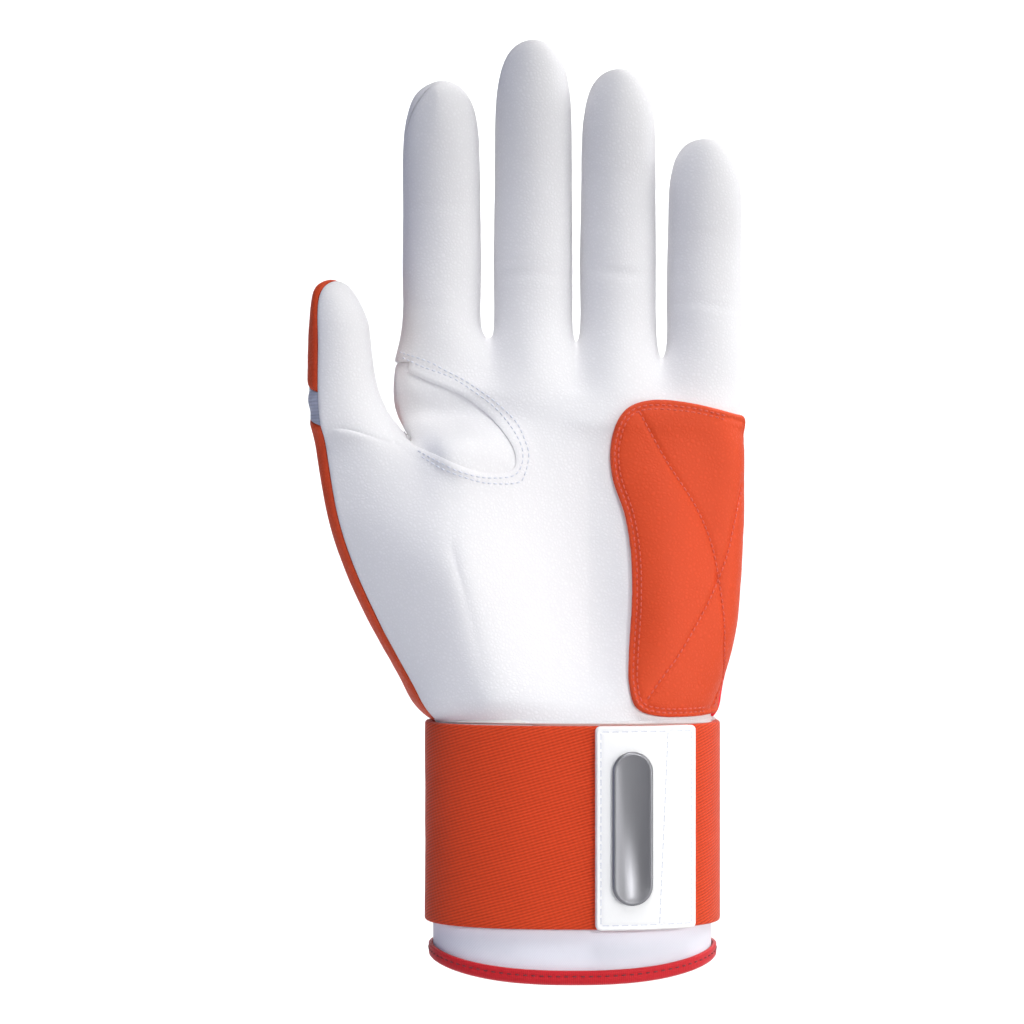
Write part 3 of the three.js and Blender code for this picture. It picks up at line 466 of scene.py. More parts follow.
class HandForm:
    """Control cage of the hand form. Every ring runs from +X over the palm side to the back."""

    def __init__(self):
        self.places = []
        self.faces = []
        self.pieces = []
        self.edge_column = []

    def place(self, x, y, z):
        self.places.append((x, y, z))
        return len(self.places) - 1

    def wall(self, lower, upper, piece_of):
        for i, start in enumerate(lower):
            after = (i + 1) % len(lower)
            self.faces.append((lower[after], start, upper[i], upper[after]))
            self.pieces.append(piece_of(i))

    def tip(self, ring, middle, first, piece_of):
        for i in range(first, first + 8, 2):
            self.faces.append((middle, ring[(i + 2) % 8], ring[(i + 1) % 8], ring[i % 8]))
            self.pieces.append(piece_of(i % 8))

    def finger_ring(self, centre, half_width, half_depth, tilt, seam=0.0):
        """Eight points round a finger. The side seam at point 4 may turn towards the palm."""
        ring = []
        for i in range(8):
            turn = i * math.pi / 4 - seam * max(0.0, 1 - abs(i - 4) / 2)
            forward = half_depth * math.sin(turn)
            x = centre[0] + half_width * math.cos(turn)
            ring.append(self.place(x, centre[1] - forward, centre[2] - tilt * forward))
        return ring

    def upper_row(self, row):
        s = sizes()
        left, right = row["left"] * s.palm_width, row["right"] * s.palm_width
        side = left + INDEX_SIDE * s.palm_width
        xs = [side] + [side + share * (right - side) for share in PALM_COLUMNS]

        def at(x, half):
            u = (x - left) / (right - left)
            z = (row["up"] - row["droop"] * u) * s.web_height
            return self.place(x, half * s.palm_depth * roundness(u), z)

        palm = [at(x, (row["groove"] if i in (2, 4, 6) else 0) - row["front"]) for i, x in enumerate(xs)]
        back = [at(x, row["back"]) for x in xs]
        return [at(right, 0), *palm[::-1], at(left, 0), *back]

    def lower_row(self, row):
        s = sizes()
        left, right, split = (row[key] * s.palm_width for key in ("left", "right", "split"))
        z = band_top() + row["up"] * (s.web_height - band_top())
        xs = [left + THUMB_SEAM * s.palm_width, (left + split) / 2, split]
        xs += [split + share * (right - split) for share in PALM_COLUMNS]

        def middle(u):
            return -row["lean"] * s.thumb_forward * max(0.0, 1 - u / LEAN_REACH) ** LEAN_POWER

        palm, back = [], []
        for i, x in enumerate(xs):
            u = (x - left) / (right - left)
            dent = 1 - row["pinch"] if i == 2 else 1
            raised = row["thenar"] * bulge(u, THENAR) + row["heel"] * bulge(u, HEEL)
            raised -= row["hollow"] * bulge(u, HOLLOW)
            front = row["front"] * roundness(u) + raised * math.sqrt(roundness(u))
            palm.append((x, middle(u) - front * dent * s.palm_depth))
            back.append((x, middle(u) + row["back"] * roundness(u) * dent * s.palm_depth))
        edge = self.place(right - row["seam"] * (1 - EDGE_BEHIND) * (right - left),
                          row["seam"] * roundness(EDGE_BEHIND) * row["back"] * s.palm_depth, z)
        palm = [self.place(x, y, z) for x, y in palm][::-1]
        side = self.place(left, middle(0), z)
        return [edge, *palm, side, *[self.place(x, y, z) for x, y in back]]

    def wrist_row(self, height_of, grow=0.0):
        row = []
        for i in range(WRIST_COLUMNS):
            turn = i * math.tau / WRIST_COLUMNS
            x, y = wrist_point(turn, grow)
            row.append(self.place(x, y, height_of(turn)))
        return row


def band_top():
    return sizes().band_bottom + sizes().band_height


def wrist_point(turn, grow=0.0):
    """A point of the wrist's outline, moved outwards by grow, at a turn from +X over the palm side."""
    s = sizes()

    def at(angle):
        c, n = math.cos(angle), math.sin(angle)
        power = 2 / SIDE_ROUND
        return np.array([s.wrist_width / 2 * math.copysign(abs(c) ** power, c),
                         -s.wrist_depth / 2 * math.copysign(abs(n) ** power, n)])

    along = at(turn + 0.01) - at(turn - 0.01)
    along /= np.linalg.norm(along)
    here = at(turn)
    return here[0] - along[1] * grow, here[1] + along[0] * grow


def hem_height(turn):
    """Underside of the hem: level at the sides and the back, lowest in the middle of the palm side."""
    return sizes().hem_dip * (1 - max(0.0, math.sin(turn)) ** HEM_POWER)


def add_finger(form, k, base, stops):
    s, finger = sizes(), FINGERS[k]
    front, back = 9 - 2 * k, 11 + 2 * k
    reach, start = finger["length"] * s.finger_length, finger["web"] * s.web_height
    bend, x = s.finger_curl * finger["length"], finger["across"] * s.palm_width

    def piece_of(i):
        return "palm" if i < 4 else "finger_back_" + finger["name"]

    ring = [stops[k + 1], base[front - 2], base[front - 1], base[front],
            stops[k], base[back], base[back + 1], base[(back + 2) % 20]]
    for row in FINGER_RINGS:
        centre = (x, -bend * row["up"] ** CURL_POWER, start + row["up"] * reach)
        width = row["width"] * finger["width"] * s.finger_width
        upper = form.finger_ring(centre, width / 2, row["depth"] * s.finger_depth / 2,
                                 CURL_POWER * bend * row["up"] / reach,
                                 finger["seam"] * math.radians(row["seam"]))
        form.wall(ring, upper, piece_of)
        ring = upper
    form.tip(ring, form.place(x, -bend - TIP_SEAM_FORWARD, start + reach - TIP_SEAM_DROP), 0, piece_of)


def add_thumb(form, crotch, thumb_web):
    s = sizes()
    ring = [thumb_web, *crotch[9:16]]
    backs = ["back_panel", "thumb_knuckle_cloth", "thumb_back_tip", "thumb_back_tip"]
    for row, back in zip(THUMB_RINGS, backs):
        centre = (row["across"] * s.palm_width, -row["forward"] * s.thumb_forward,
                  s.crotch_height + row["up"] * s.thumb_length)
        upper = form.finger_ring(centre, row["width"] * s.thumb_width / 2,
                                 row["depth"] * s.thumb_depth / 2, THUMB_TILT)
        form.wall(ring, upper, lambda i, back=back: "palm" if i < 3 or i == 7 else back)
        ring = upper
    tip = form.place(THUMB_TIP["across"] * s.palm_width, -THUMB_TIP["forward"] * s.thumb_forward,
                     s.crotch_height + s.thumb_length)
    form.tip(ring, tip, 1, lambda i: "palm" if i < 3 or i == 7 else "thumb_back_tip")


def hand_form():
    """The whole cage, fitted so that its smooth surface passes through the places asked for."""
    s = sizes()
    form = HandForm()
    upper = [form.upper_row(row) for row in UPPER_ROWS]
    lower = [form.lower_row(row) for row in LOWER_ROWS]
    thumb_web = form.place(THUMB_WEB["across"] * s.palm_width,
                           -THUMB_WEB["forward"] * s.thumb_forward, s.crotch_height)
    webs = [form.place(web["across"] * s.palm_width, -1 * MM, web["up"] * s.web_height) for web in WEBS]
    stops = [upper[0][10], *webs, upper[0][0]]
    for k in range(len(FINGERS)):
        add_finger(form, k, upper[0], stops)

    def palm_piece(i):
        return "palm_over_gusset" if 4 < i < 9 else "palm"

    def upper_piece(i):
        if i < 9:
            return palm_piece(i)
        return "thumb_gusset" if i < 11 else "back_panel"

    form.wall(upper[1], upper[0], upper_piece)
    form.wall(upper[2], upper[1], upper_piece)
    crotch = lower[0]
    form.wall([*crotch[:10], thumb_web, *crotch[15:]], upper[2], upper_piece)
    add_thumb(form, crotch, thumb_web)

    form.wall(lower[1], lower[0], lambda i: palm_piece(i) if i < 11 else "back_panel")
    for below, above in zip(lower[2:], lower[1:]):
        form.wall(below, above, lambda i: "palm" if i < 11 else "back_panel")
    tucked = form.wrist_row(lambda turn: band_top() + s.clearance, -s.clearance)
    form.wall(tucked, lower[-1], lambda i: "palm" if i < 11 else "back_panel")
    top = form.wrist_row(lambda turn: band_top() - s.cuff_tuck)
    form.wall(top, tucked, lambda i: "palm" if i < 11 else "back_panel")
    hem = form.wrist_row(lambda turn: hem_height(turn) + s.binding_cloth + s.clearance)
    form.wall(hem, top, lambda i: "cuff")
    form.edge_column = [tucked[0], *[row[0] for row in reversed(lower)]]
    fit(form)
    return form


def fit(form):
    """Moves the control points until the smooth surface passes through the places asked for."""
    count = len(form.places)
    joined, across, sides = [set() for _ in range(count)], [[] for _ in range(count)], {}
    for face in form.faces:
        for i, a in enumerate(face):
            joined[a] |= {face[(i + 1) % 4], face[i - 1]}
            across[a].append(face[(i + 2) % 4])
            key = tuple(sorted((a, face[(i + 1) % 4])))
            sides[key] = sides.get(key, 0) + 1
    rim = [[] for _ in range(count)]
    for (a, b), uses in sides.items():
        if uses == 1:
            rim[a].append(b)
            rim[b].append(a)
    settle = np.zeros((count, count))
    for i in range(count):
        if rim[i]:
            settle[i, i] = 4 / 6
            settle[i, rim[i]] = 1 / 6
            continue
        n = len(joined[i])
        settle[i, i] = n * n / (n * (n + 5))
        settle[i, list(joined[i])] = 4 / (n * (n + 5))
        settle[i, across[i]] += 1 / (n * (n + 5))
    wanted = np.array(form.places)
    form.control = wanted.copy()
    for _ in range(FIT_ROUNDS):
        form.control += wanted - settle @ form.control


class Skin:
    """A stretch of the smooth surface: points, their normals, and faces by point number."""

    def __init__(self, points, normals, faces):
        used = sorted({i for face in faces for i in face})
        number = {old: new for new, old in enumerate(used)}
        self.points = np.asarray(points, float)[used]
        self.normals = np.asarray(normals, float)[used]
        self.faces = [tuple(number[i] for i in face) for face in faces]

    def raised(self, heights):
        """The same stretch moved out along its normals."""
        lifted = Skin(self.points, self.normals, self.faces)
        lifted.points = self.points + self.normals * np.reshape(heights, (-1, 1))
        return lifted

    def rim(self):
        """Border edges, each running with its face."""
        halves = {(a, b) for face in self.faces for a, b in zip(face, (*face[1:], face[0]))}
        return [(a, b) for a, b in halves if (b, a) not in halves]

    def trimmed(self, inside):
        """The part where inside is positive, cut cleanly along the line where it is zero."""
        points, normals, cuts, faces = list(self.points), list(self.normals), {}, []

        def cut(a, b):
            key = (min(a, b), max(a, b))
            if key not in cuts:
                share = inside[a] / (inside[a] - inside[b])
                points.append(points[a] * (1 - share) + points[b] * share)
                normals.append(normals[a] * (1 - share) + normals[b] * share)
                cuts[key] = len(points) - 1
            return cuts[key]

        for face in self.faces:
            kept = [inside[i] > 0 for i in face]
            if all(kept):
                faces.append(face)
            elif any(kept):
                clipped = []
                for i, a in enumerate(face):
                    b = face[(i + 1) % len(face)]
                    if inside[a] > 0:
                        clipped.append(a)
                    if (inside[a] > 0) != (inside[b] > 0):
                        clipped.append(cut(a, b))
                faces.append(tuple(clipped))
        return Skin(points, normals, faces)

    def drawn_in(self, room):
        """The same stretch with its border moved inwards along the surface."""
        pulls = {}
        for a, b in self.rim():
            edge = self.points[b] - self.points[a]
            for end in (a, b):
                inward = np.cross(self.normals[end], edge)
                pulls[end] = pulls.get(end, 0) + inward / max(1e-9, np.linalg.norm(inward))
        pulled = Skin(self.points, self.normals, self.faces)
        for end, pull in pulls.items():
            pulled.points[end] += room * pull / max(1e-9, np.linalg.norm(pull))
        return pulled

    def from_rim(self):
        """How far each point lies from the border."""
        near = KDTree(4 * len(self.faces))
        count = 0
        for a, b in self.rim():
            for share in (0.0, 0.33, 0.67):
                near.insert(self.points[a] * (1 - share) + self.points[b] * share, count)
                count += 1
        near.balance()
        return np.array([near.find(point)[2] for point in self.points])

    def smoothing(self, share, rounds):
        """How far each point moves along its normal when the surface is smoothed, by a share a round."""
        sides = np.array([(a, b) for face in self.faces for a, b in zip(face, (*face[1:], face[0]))])
        here, there = np.concatenate([sides, sides[:, ::-1]]).T
        count = np.bincount(here, minlength=len(self.points))
        points = self.points.copy()
        for _ in range(rounds):
            for k in range(3):
                middle = np.bincount(here, points[there, k], len(points)) / count
                points[:, k] += share * (middle - points[:, k])
        return ((points - self.points) * self.normals).sum(1)

    def tree(self):
        return BVHTree.FromPolygons([Vector(p) for p in self.points], self.faces)


def smooth_skin(form, wanted, level):
    """The smooth surface over the wanted pieces of the hand form."""
    near = {i for face, piece in zip(form.faces, form.pieces) if piece in wanted for i in face}
    for _ in range(2):
        near |= {i for face in form.faces if near & set(face) for i in face}
    chosen = [k for k, face in enumerate(form.faces) if set(face) <= near]
    names = sorted(set(form.pieces))
    mesh = bpy.data.meshes.new("cage")
    mesh.from_pydata(form.control.tolist(), [], [form.faces[k] for k in chosen])
    mesh.polygons.foreach_set("material_index", [names.index(form.pieces[k]) for k in chosen])
    cage = bpy.data.objects.new("cage", mesh)
    bpy.context.scene.collection.objects.link(cage)
    smoothing = cage.modifiers.new("Smooth", "SUBSURF")
    smoothing.levels = smoothing.render_levels = level
    smoothing.use_limit_surface = True
    smooth = bpy.data.meshes.new_from_object(
        cage.evaluated_get(bpy.context.evaluated_depsgraph_get()))
    count = len(smooth.vertices)
    points, normals = np.empty(3 * count), np.empty(3 * count)
    smooth.vertices.foreach_get("co", points)
    smooth.vertex_normals.foreach_get("vector", normals)
    faces = [tuple(polygon.vertices) for polygon in smooth.polygons
             if names[polygon.material_index] in wanted]
    bpy.data.objects.remove(cage)
    for used in (mesh, smooth):
        bpy.data.meshes.remove(used)
    return Skin(points.reshape(-1, 3), normals.reshape(-1, 3), faces)


# Lines, outlines and soft steps


def ramp(values, start, width):
    """Rises from 0 at start to 1 over a width; falls where the width is negative."""
    return np.clip((values - start) / width, 0, 1)


def rounded_over(away, width):
    """Height, from 0 to 1, of an edge rounded over within a width."""
    return np.sqrt(1 - (1 - ramp(away, 0, width)) ** 2)


def dip(away, width):
    """A soft dip across a line: 1 on it, next to nothing two widths away."""
    return np.exp(-((away / width) ** 2))


def spline(points, steps):
    """A smooth line through points, in steps equal shares of its corners."""
    points = [np.array(p, float) for p in points]
    last = len(points) - 1
    line = []
    for step in range(steps + 1):
        i, w = divmod(last * step / steps, 1)
        i = int(i)
        p0, p1, p2, p3 = (points[max(0, min(last, k))] for k in (i - 1, i, i + 1, i + 2))
        v0, v1 = (p2 - p0) / 2, (p3 - p1) / 2
        line.append((2 * p1 - 2 * p2 + v0 + v1) * w**3 + (-3 * p1 + 3 * p2 - 2 * v0 - v1) * w**2
                    + v0 * w + p1)
    return line


def outline_of(table, steps):
    """A smooth outline through a table of shares across the palm and up to the webs."""
    s = sizes()
    return spline([(across * s.palm_width, up * s.web_height) for across, up in table], steps)


def drawn_line(line, distance):
    """The same line moved to its right-hand side by a distance."""
    moved = []
    for i, point in enumerate(line):
        along = line[min(i + 1, len(line) - 1)] - line[max(i - 1, 0)]
        along /= np.linalg.norm(along)
        moved.append(point + distance * np.array([along[1], -along[0]]))
    return moved


def inside_outline(points, outline):
    """Distance of each point to a closed outline as seen from the palm, positive inside it."""
    seen = np.asarray(points)[:, [0, 2]]
    start = np.array(outline)
    end = np.roll(start, -1, axis=0)
    side = end - start
    reach, odd = np.full(len(seen), np.inf), np.zeros(len(seen), bool)
    for a, b, d in zip(start, end, side):
        share = np.clip(((seen - a) @ d) / max(1e-12, d @ d), 0, 1)
        reach = np.minimum(reach, np.linalg.norm(seen - a - share[:, None] * d, axis=1))
        if a[1] != b[1]:
            spans = (a[1] > seen[:, 1]) != (b[1] > seen[:, 1])
            odd ^= spans & (seen[:, 0] < d[0] * (seen[:, 1] - a[1]) / d[1] + a[0])
    return np.where(odd, reach, -reach)


def rounded_meeting(first, second, radius):
    """Distance inside two edges at once, their corner rounded to a radius."""
    within = radius - np.hypot(np.maximum(radius - first, 0), np.maximum(radius - second, 0))
    return np.where(np.minimum(first, second) < radius, within, np.minimum(first, second))


def line_distance(points, line):
    """Distance of each point to an open line in space."""
    line = np.array(line)
    reach = np.full(len(points), np.inf)
    for a, b in zip(line, line[1:]):
        d = b - a
        share = np.clip(((points - a) @ d) / max(1e-12, d @ d), 0, 1)
        reach = np.minimum(reach, np.linalg.norm(points - a - share[:, None] * d, axis=1))
    return reach


# The camera's place, and its lens and sensor in millimetres
EYE = Vector((-16.6 * MM, -0.95, 126.8 * MM))
FOCAL_LENGTH, SENSOR_WIDTH = 121.45, 36


def cast(tree, x, z, from_eye):
    """Where the line of sight through (x, 0, z) meets a piece on its palm side, and the normal there."""
    if from_eye:
        start = EYE
        way = (Vector((x, 0, z)) - EYE).normalized()
    else:
        start, way = Vector((x, EYE.y, z)), Vector((0, 1, 0))
    place, normal, _, _ = tree.ray_cast(start, way)
    return place, normal


def laid_line(tree, line, from_eye=False):
    """The line laid on a piece, as points and normals; what misses it is left out."""
    hits = [cast(tree, x, z, from_eye) for x, z in line]
    return [(np.array(place), np.array(normal)) for place, normal in hits if place is not None]


def seen_line(table, steps):
    """A smooth line through a table of millimetres on the plane y = 0."""
    return spline([(x * MM, z * MM) for x, z in table], steps)


# Making pieces


def ring_faces(rings, size, first=0, closed=True, capped=False):
    """Faces between rings of size points each, round every ring if closed, and the two end caps."""
    faces = []
    for r in range(rings - 1):
        for c in range(size if closed else size - 1):
            a, b = first + r * size + c, first + r * size + (c + 1) % size
            faces.append((a, b, b + size, a + size))
    if capped:
        last = first + (rings - 1) * size
        faces += [tuple(range(first + size - 1, first - 1, -1)), tuple(range(last, last + size))]
    return faces


def new_piece(name, points, faces, materials, node, sides=None):
    """A mesh piece that rides on the glove, stands for a CAD node and has a slot in its finish."""
    mesh = bpy.data.meshes.new(name)
    mesh.from_pydata([tuple(p) for p in points], [], [tuple(f) for f in faces])
    for material in materials:
        mesh.materials.append(material)
    if sides is not None:
        mesh.polygons.foreach_set("material_index", sides)
    mesh.polygons.foreach_set("use_smooth", [True] * len(mesh.polygons))
    mesh.set_sharp_from_angle(angle=FACES_SMOOTH_BELOW)
    mesh.validate()
    mesh.update()
    piece = bpy.data.objects.new(name, mesh)
    bpy.context.scene.collection.objects.link(piece)
    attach(piece, "root")
    if node:
        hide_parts(node)
    return piece


def leather_piece(name, skin, inner, thickness, materials, node):
    """Leather with its grain side, a cut edge as thick as the leather, and its flesh side. Without
    an inner skin of its own the wall is closed with a copy of the outer one."""
    points, faces = list(skin.points), list(skin.faces)
    sides = [0] * len(faces)
    if inner is None:
        back = {end: len(points) + end for end in range(len(points))}
        points.extend(skin.points - thickness * skin.normals)
        faces.extend(tuple(back[i] for i in reversed(face)) for face in skin.faces)
        sides += [len(materials) - 1] * len(skin.faces)
    else:
        back = {}
        for end in {end for edge in skin.rim() for end in edge}:
            back[end] = len(points)
            points.append(skin.points[end] - thickness * skin.normals[end])
        first = len(points)
        points.extend(inner.points - thickness * inner.normals)
        faces.extend(tuple(first + i for i in reversed(face)) for face in inner.faces)
        sides += [len(materials) - 1] * len(inner.faces)
    lip = [(b, a, back[a], back[b]) for a, b in skin.rim()]
    return new_piece(name, points, faces + lip, materials, node, sides + [0] * len(lip))


def uneven(points, size, depth, seed):
    """Soft unevenness of hand-sewn leather: hollows about size metres across, depth deep."""
    shift = Vector((seed, 2.7 * seed, 5.1 * seed))
    return depth * np.array([noise.fractal(Vector(p) / size + shift, 1.0, 2.0, 3) for p in points])


def seam_roll(skin, depth=0.4 * MM, width=1.5 * MM):
    """How far the leather turns in along its border, where it is sewn to the next panel."""
    return -depth * ramp(skin.from_rim(), width, -width) ** 2


def finger_creases(points):
    """Shallow folds across the palm side of the fingers where they bend."""
    s = sizes()
    depth = np.zeros(len(points))
    for crease in FINGER_CREASES:
        finger = next(f for f in FINGERS if f["name"] == crease["finger"])
        x = finger["across"] * s.palm_width
        z = finger["web"] * s.web_height + crease["up"] * finger["length"] * s.finger_length
        half = s.finger_width * finger["width"] / 2
        across = (points[:, 0] - x) / half
        on_finger = (np.abs(across) < 1.08) & (points[:, 2] > s.web_height * 0.985)
        sway = 0.8 * MM * np.sin(across * 2.3 + crease["up"] * 40)
        away = (points[:, 2] - z - sway) / (crease["wide"] * MM)
        fade = ramp(across**2, 1.1, -1)
        depth -= np.where(on_finger, crease["deep"] * MM * fade * np.exp(-away**2), 0)
    return depth


# Rings along one stitch: place from end to end and share of the thread's thickness
THREAD_RINGS = [(-1.0, 0.5), (-0.75, 0.85), (-0.3, 1.0), (0.3, 1.0), (0.75, 0.85), (1.0, 0.5)]
STITCH_GAP = 0.28


def stitch_row(path, pitch, stitch, radius):
    """Stitches along a path of points and normals: each a thread that rises out of one hole and
    sinks into the next. Returns points and faces."""
    spots = np.array([p for p, _ in path])
    normals = np.array([n for _, n in path])
    steps = np.linalg.norm(np.diff(spots, axis=0), axis=1)
    along = np.concatenate([[0], np.cumsum(steps)])
    total = along[-1]
    count = max(1, int(total / pitch))

    def at(distance, table):
        return np.array([np.interp(distance, along, table[:, k]) for k in range(3)])

    points, faces = [], []
    for k in range(count):
        middle = (k + 0.5) * total / count
        half = min(stitch, pitch * (1 - STITCH_GAP)) / 2
        here, normal = at(middle, spots), at(middle, normals)
        way = at(min(total, middle + half), spots) - at(max(0, middle - half), spots)
        way /= max(1e-9, np.linalg.norm(way))
        normal /= np.linalg.norm(normal)
        side = np.cross(way, normal)
        side /= np.linalg.norm(side)
        normal = np.cross(side, way)
        first = len(points)
        for u, swell in THREAD_RINGS:
            centre = here + way * u * half + normal * radius * (0.75 - 1.3 * u * u)
            for c in range(6):
                turn = c * math.pi / 3
                ring = side * math.cos(turn) + normal * math.sin(turn)
                points.append(centre + radius * swell * ring)
        faces += ring_faces(len(THREAD_RINGS), 6, first, capped=True)
    return points, faces


def stitches(name, rows, thread, pitch=None, stitch=None):
    """One piece that holds every stitch of the given rows."""
    s = sizes()
    pitch = pitch or s.stitch_length
    points, faces = [], []
    for row in rows:
        if len(row) < 2:
            raise RuntimeError(name + ": a row of stitches misses its piece")
        spots, sides = stitch_row(row, pitch, stitch or pitch, s.thread / 2)
        faces.extend(tuple(i + len(points) for i in side) for side in sides)
        points.extend(spots)
    return new_piece(name, points, faces, [thread], None)


def wrist_grid(turns, section):
    """Points and faces of a closed section carried round the wrist, and a flat map of metres round
    and up."""
    points, flat = [], []
    travelled, before = 0.0, None
    for turn in turns:
        x, y = wrist_point(turn)
        if before is not None:
            travelled += math.dist(before, (x, y))
        before = (x, y)
        rise = 0.0
        corners = section(turn)
        for c, (grow, z) in enumerate(corners):
            if c:
                rise += math.dist(corners[c - 1], (grow, z))
            px, py = wrist_point(turn, grow)
            points.append((px, py, z))
            flat.append((travelled, rise))
    return points, ring_faces(len(turns), len(section(turns[0]))), flat


def add_flat_map(piece, flat):
    """Gives a piece its flat map, one place for each point, and joins its two ends where they meet."""
    layer = piece.data.uv_layers.new(name="flat")
    for loop in piece.data.loops:
        layer.data[loop.index].uv = flat[loop.vertex_index]
    mesh = bmesh.new()
    mesh.from_mesh(piece.data)
    bmesh.ops.remove_doubles(mesh, verts=mesh.verts, dist=1e-3 * MM)
    mesh.to_mesh(piece.data)
    mesh.free()


def wrapped_flat_map(piece):
    """A flat map for cloth that wraps the wrist: metres round it and metres up."""
    around = sizes().wrist_width / 2
    layer = piece.data.uv_layers.new(name="flat")
    points = piece.data.vertices
    for polygon in piece.data.polygons:
        turns = [math.atan2(points[i].co.x, -points[i].co.y) for i in polygon.vertices]
        if max(turns) - min(turns) > math.pi:
            turns = [turn + math.tau if turn < 0 else turn for turn in turns]
        for loop, i, turn in zip(polygon.loop_indices, polygon.vertices, turns):
            layer.data[loop].uv = (turn * around, points[i].co.z)


def turn_at(x, grow):
    """Turn at which the wrist outline, grown by grow, reaches a place across on the palm side."""
    low, high = 0.0, math.pi
    for _ in range(40):
        middle = (low + high) / 2
        if wrist_point(middle, grow)[0] > x:
            low = middle
        else:
            high = middle
    return low


# Pieces


PALM_PIECES = {"palm", "palm_over_gusset"}

# Where flesh fills the palm leather out, in millimetres: left of the heel pad, from the band up to the
# fingers, lower right of the thumb; and how far this fades over at the seams, sides, bottom and top
FLESH = dict(right=4, bottom=76, top=152, thumb=-44, thumb_top=178, seam=1,
             fade=dict(seam=5, side=8, bottom=8, top=10))
FLESH_SHARE, FLESH_ROUNDS, FLESH_ROUNDS_INSIDE = 0.9, 220, 14

# The gusset reaches under the palm leather and lies below it, more so along its edge
GUSSET_UNDERLAP, GUSSET_SUNK, GUSSET_CROWN, GUSSET_CROWN_WIDE = 3 * MM, 0.85 * MM, 0.6 * MM, 5 * MM
GUSSET_BOTTOM = 0.03


def outside_gusset(points):
    """Distance outside the gusset's opening; what lies behind the hand counts as outside."""
    s = sizes()
    edge = outline_of(GUSSET_EDGE, 60)
    side = GUSSET_SIDE * s.palm_width
    hole = [*edge, (side, edge[-1][1] + GUSSET_BOTTOM * s.web_height), (side, edge[0][1])]
    away = -inside_outline(points, hole)
    return np.where(points[:, 1] < 0, away, np.maximum(away, 1 * MM))


class GLOVE_OT_palm(bpy.types.Operator):
    """Palm, finger fronts and thumb front in one panel of white leather, with the gusset's stitches"""

    bl_idname = "glove.palm"
    bl_label = "Palm leather"

    def execute(self, context):
        form, s = hand_form(), sizes()
        wanted = PALM_PIECES
        skin = smooth_skin(form, wanted, OUTSIDE).drawn_in(s.clearance / 2)
        skin = skin.trimmed(outside_gusset(skin.points))
        inner = smooth_skin(form, wanted, INSIDE)
        inner = inner.trimmed(outside_gusset(inner.points))
        inner = inner.raised(inner.smoothing(self.padded_share(inner), FLESH_ROUNDS_INSIDE))
        heights = seam_roll(skin) + finger_creases(skin.points)
        heights += skin.smoothing(self.padded_share(skin), FLESH_ROUNDS)
        heights += uneven(skin.points, 14 * MM, 0.12 * MM, 3)
        heights += self.gusset_welt(skin.points)
        skin = skin.raised(heights)
        leather_piece("palm_leather", skin, inner, s.leather, [white_goatskin(), suede()], "palm")
        tree = skin.tree()
        rows = [laid_line(tree, seen_line(row, 140), True) for row in (GUSSET_INNER_ROW, GUSSET_OUTER_ROW)]
        thread = bonded_thread("white_bonded_thread", colours().white_thread)
        stitches("gusset_stitches", rows, thread)
        return {"FINISHED"}

    def padded_share(self, skin):
        """Where the flesh of the thumb fills the leather out smoothly: from the band up to the fingers
        and the thumb, left of the heel pad and clear of every seam."""
        x, z, fade = skin.points[:, 0] / MM, skin.points[:, 2] / MM, FLESH["fade"]
        top = np.where(x < FLESH["thumb"], FLESH["thumb_top"], FLESH["top"])
        share = ramp(skin.from_rim() / MM, FLESH["seam"], fade["seam"])
        share *= ramp(x, FLESH["right"], -fade["side"]) * ramp(z, FLESH["bottom"], fade["bottom"])
        return FLESH_SHARE * share * ramp(z, top, -fade["top"])

    def gusset_welt(self, points):
        """The doubled leather round the gusset stands up, and its two sewn rows sink in."""
        away = outside_gusset(points)
        folded = ramp(np.abs(away - 1.5 * MM), 3.4 * MM, -3.4 * MM)
        sewn = sum(dip(away - row * MM, 0.45 * MM) for row in (1.9, 3.3))
        return 0.28 * MM * folded - 0.22 * MM * sewn


class GLOVE_OT_gusset(bpy.types.Operator):
    """Leaf-shaped gusset of white leather at the crotch of the thumb, let in under the palm's edge"""

    bl_idname = "glove.gusset"
    bl_label = "Thumb gusset"

    def execute(self, context):
        form, s = hand_form(), sizes()
        wanted = {"thumb_gusset", "palm_over_gusset"}
        skin = smooth_skin(form, wanted, FINE)
        skin = skin.trimmed(GUSSET_UNDERLAP - self.outside(skin.points))
        away = self.outside(skin.points)
        heights = GUSSET_CROWN * ramp(away, 0, -GUSSET_CROWN_WIDE) ** 0.7 - GUSSET_SUNK
        heights += seam_roll(skin, 0.3 * MM) + uneven(skin.points, 9 * MM, 0.12 * MM, 8)
        inner = smooth_skin(form, wanted, INSIDE)
        inner = inner.trimmed(GUSSET_UNDERLAP - self.outside(inner.points)).raised(-0.5 * MM)
        leather_piece("gusset_leather", skin.raised(heights), inner, s.leather,
                      [white_goatskin(), suede()], "thumb_gusset")
        return {"FINISHED"}

    def outside(self, points):
        """As outside_gusset, but nothing that bulges past the opening's side counts as outside."""
        side = np.array([GUSSET_SIDE * sizes().palm_width, -np.inf, -np.inf])
        return outside_gusset(np.maximum(points, side))


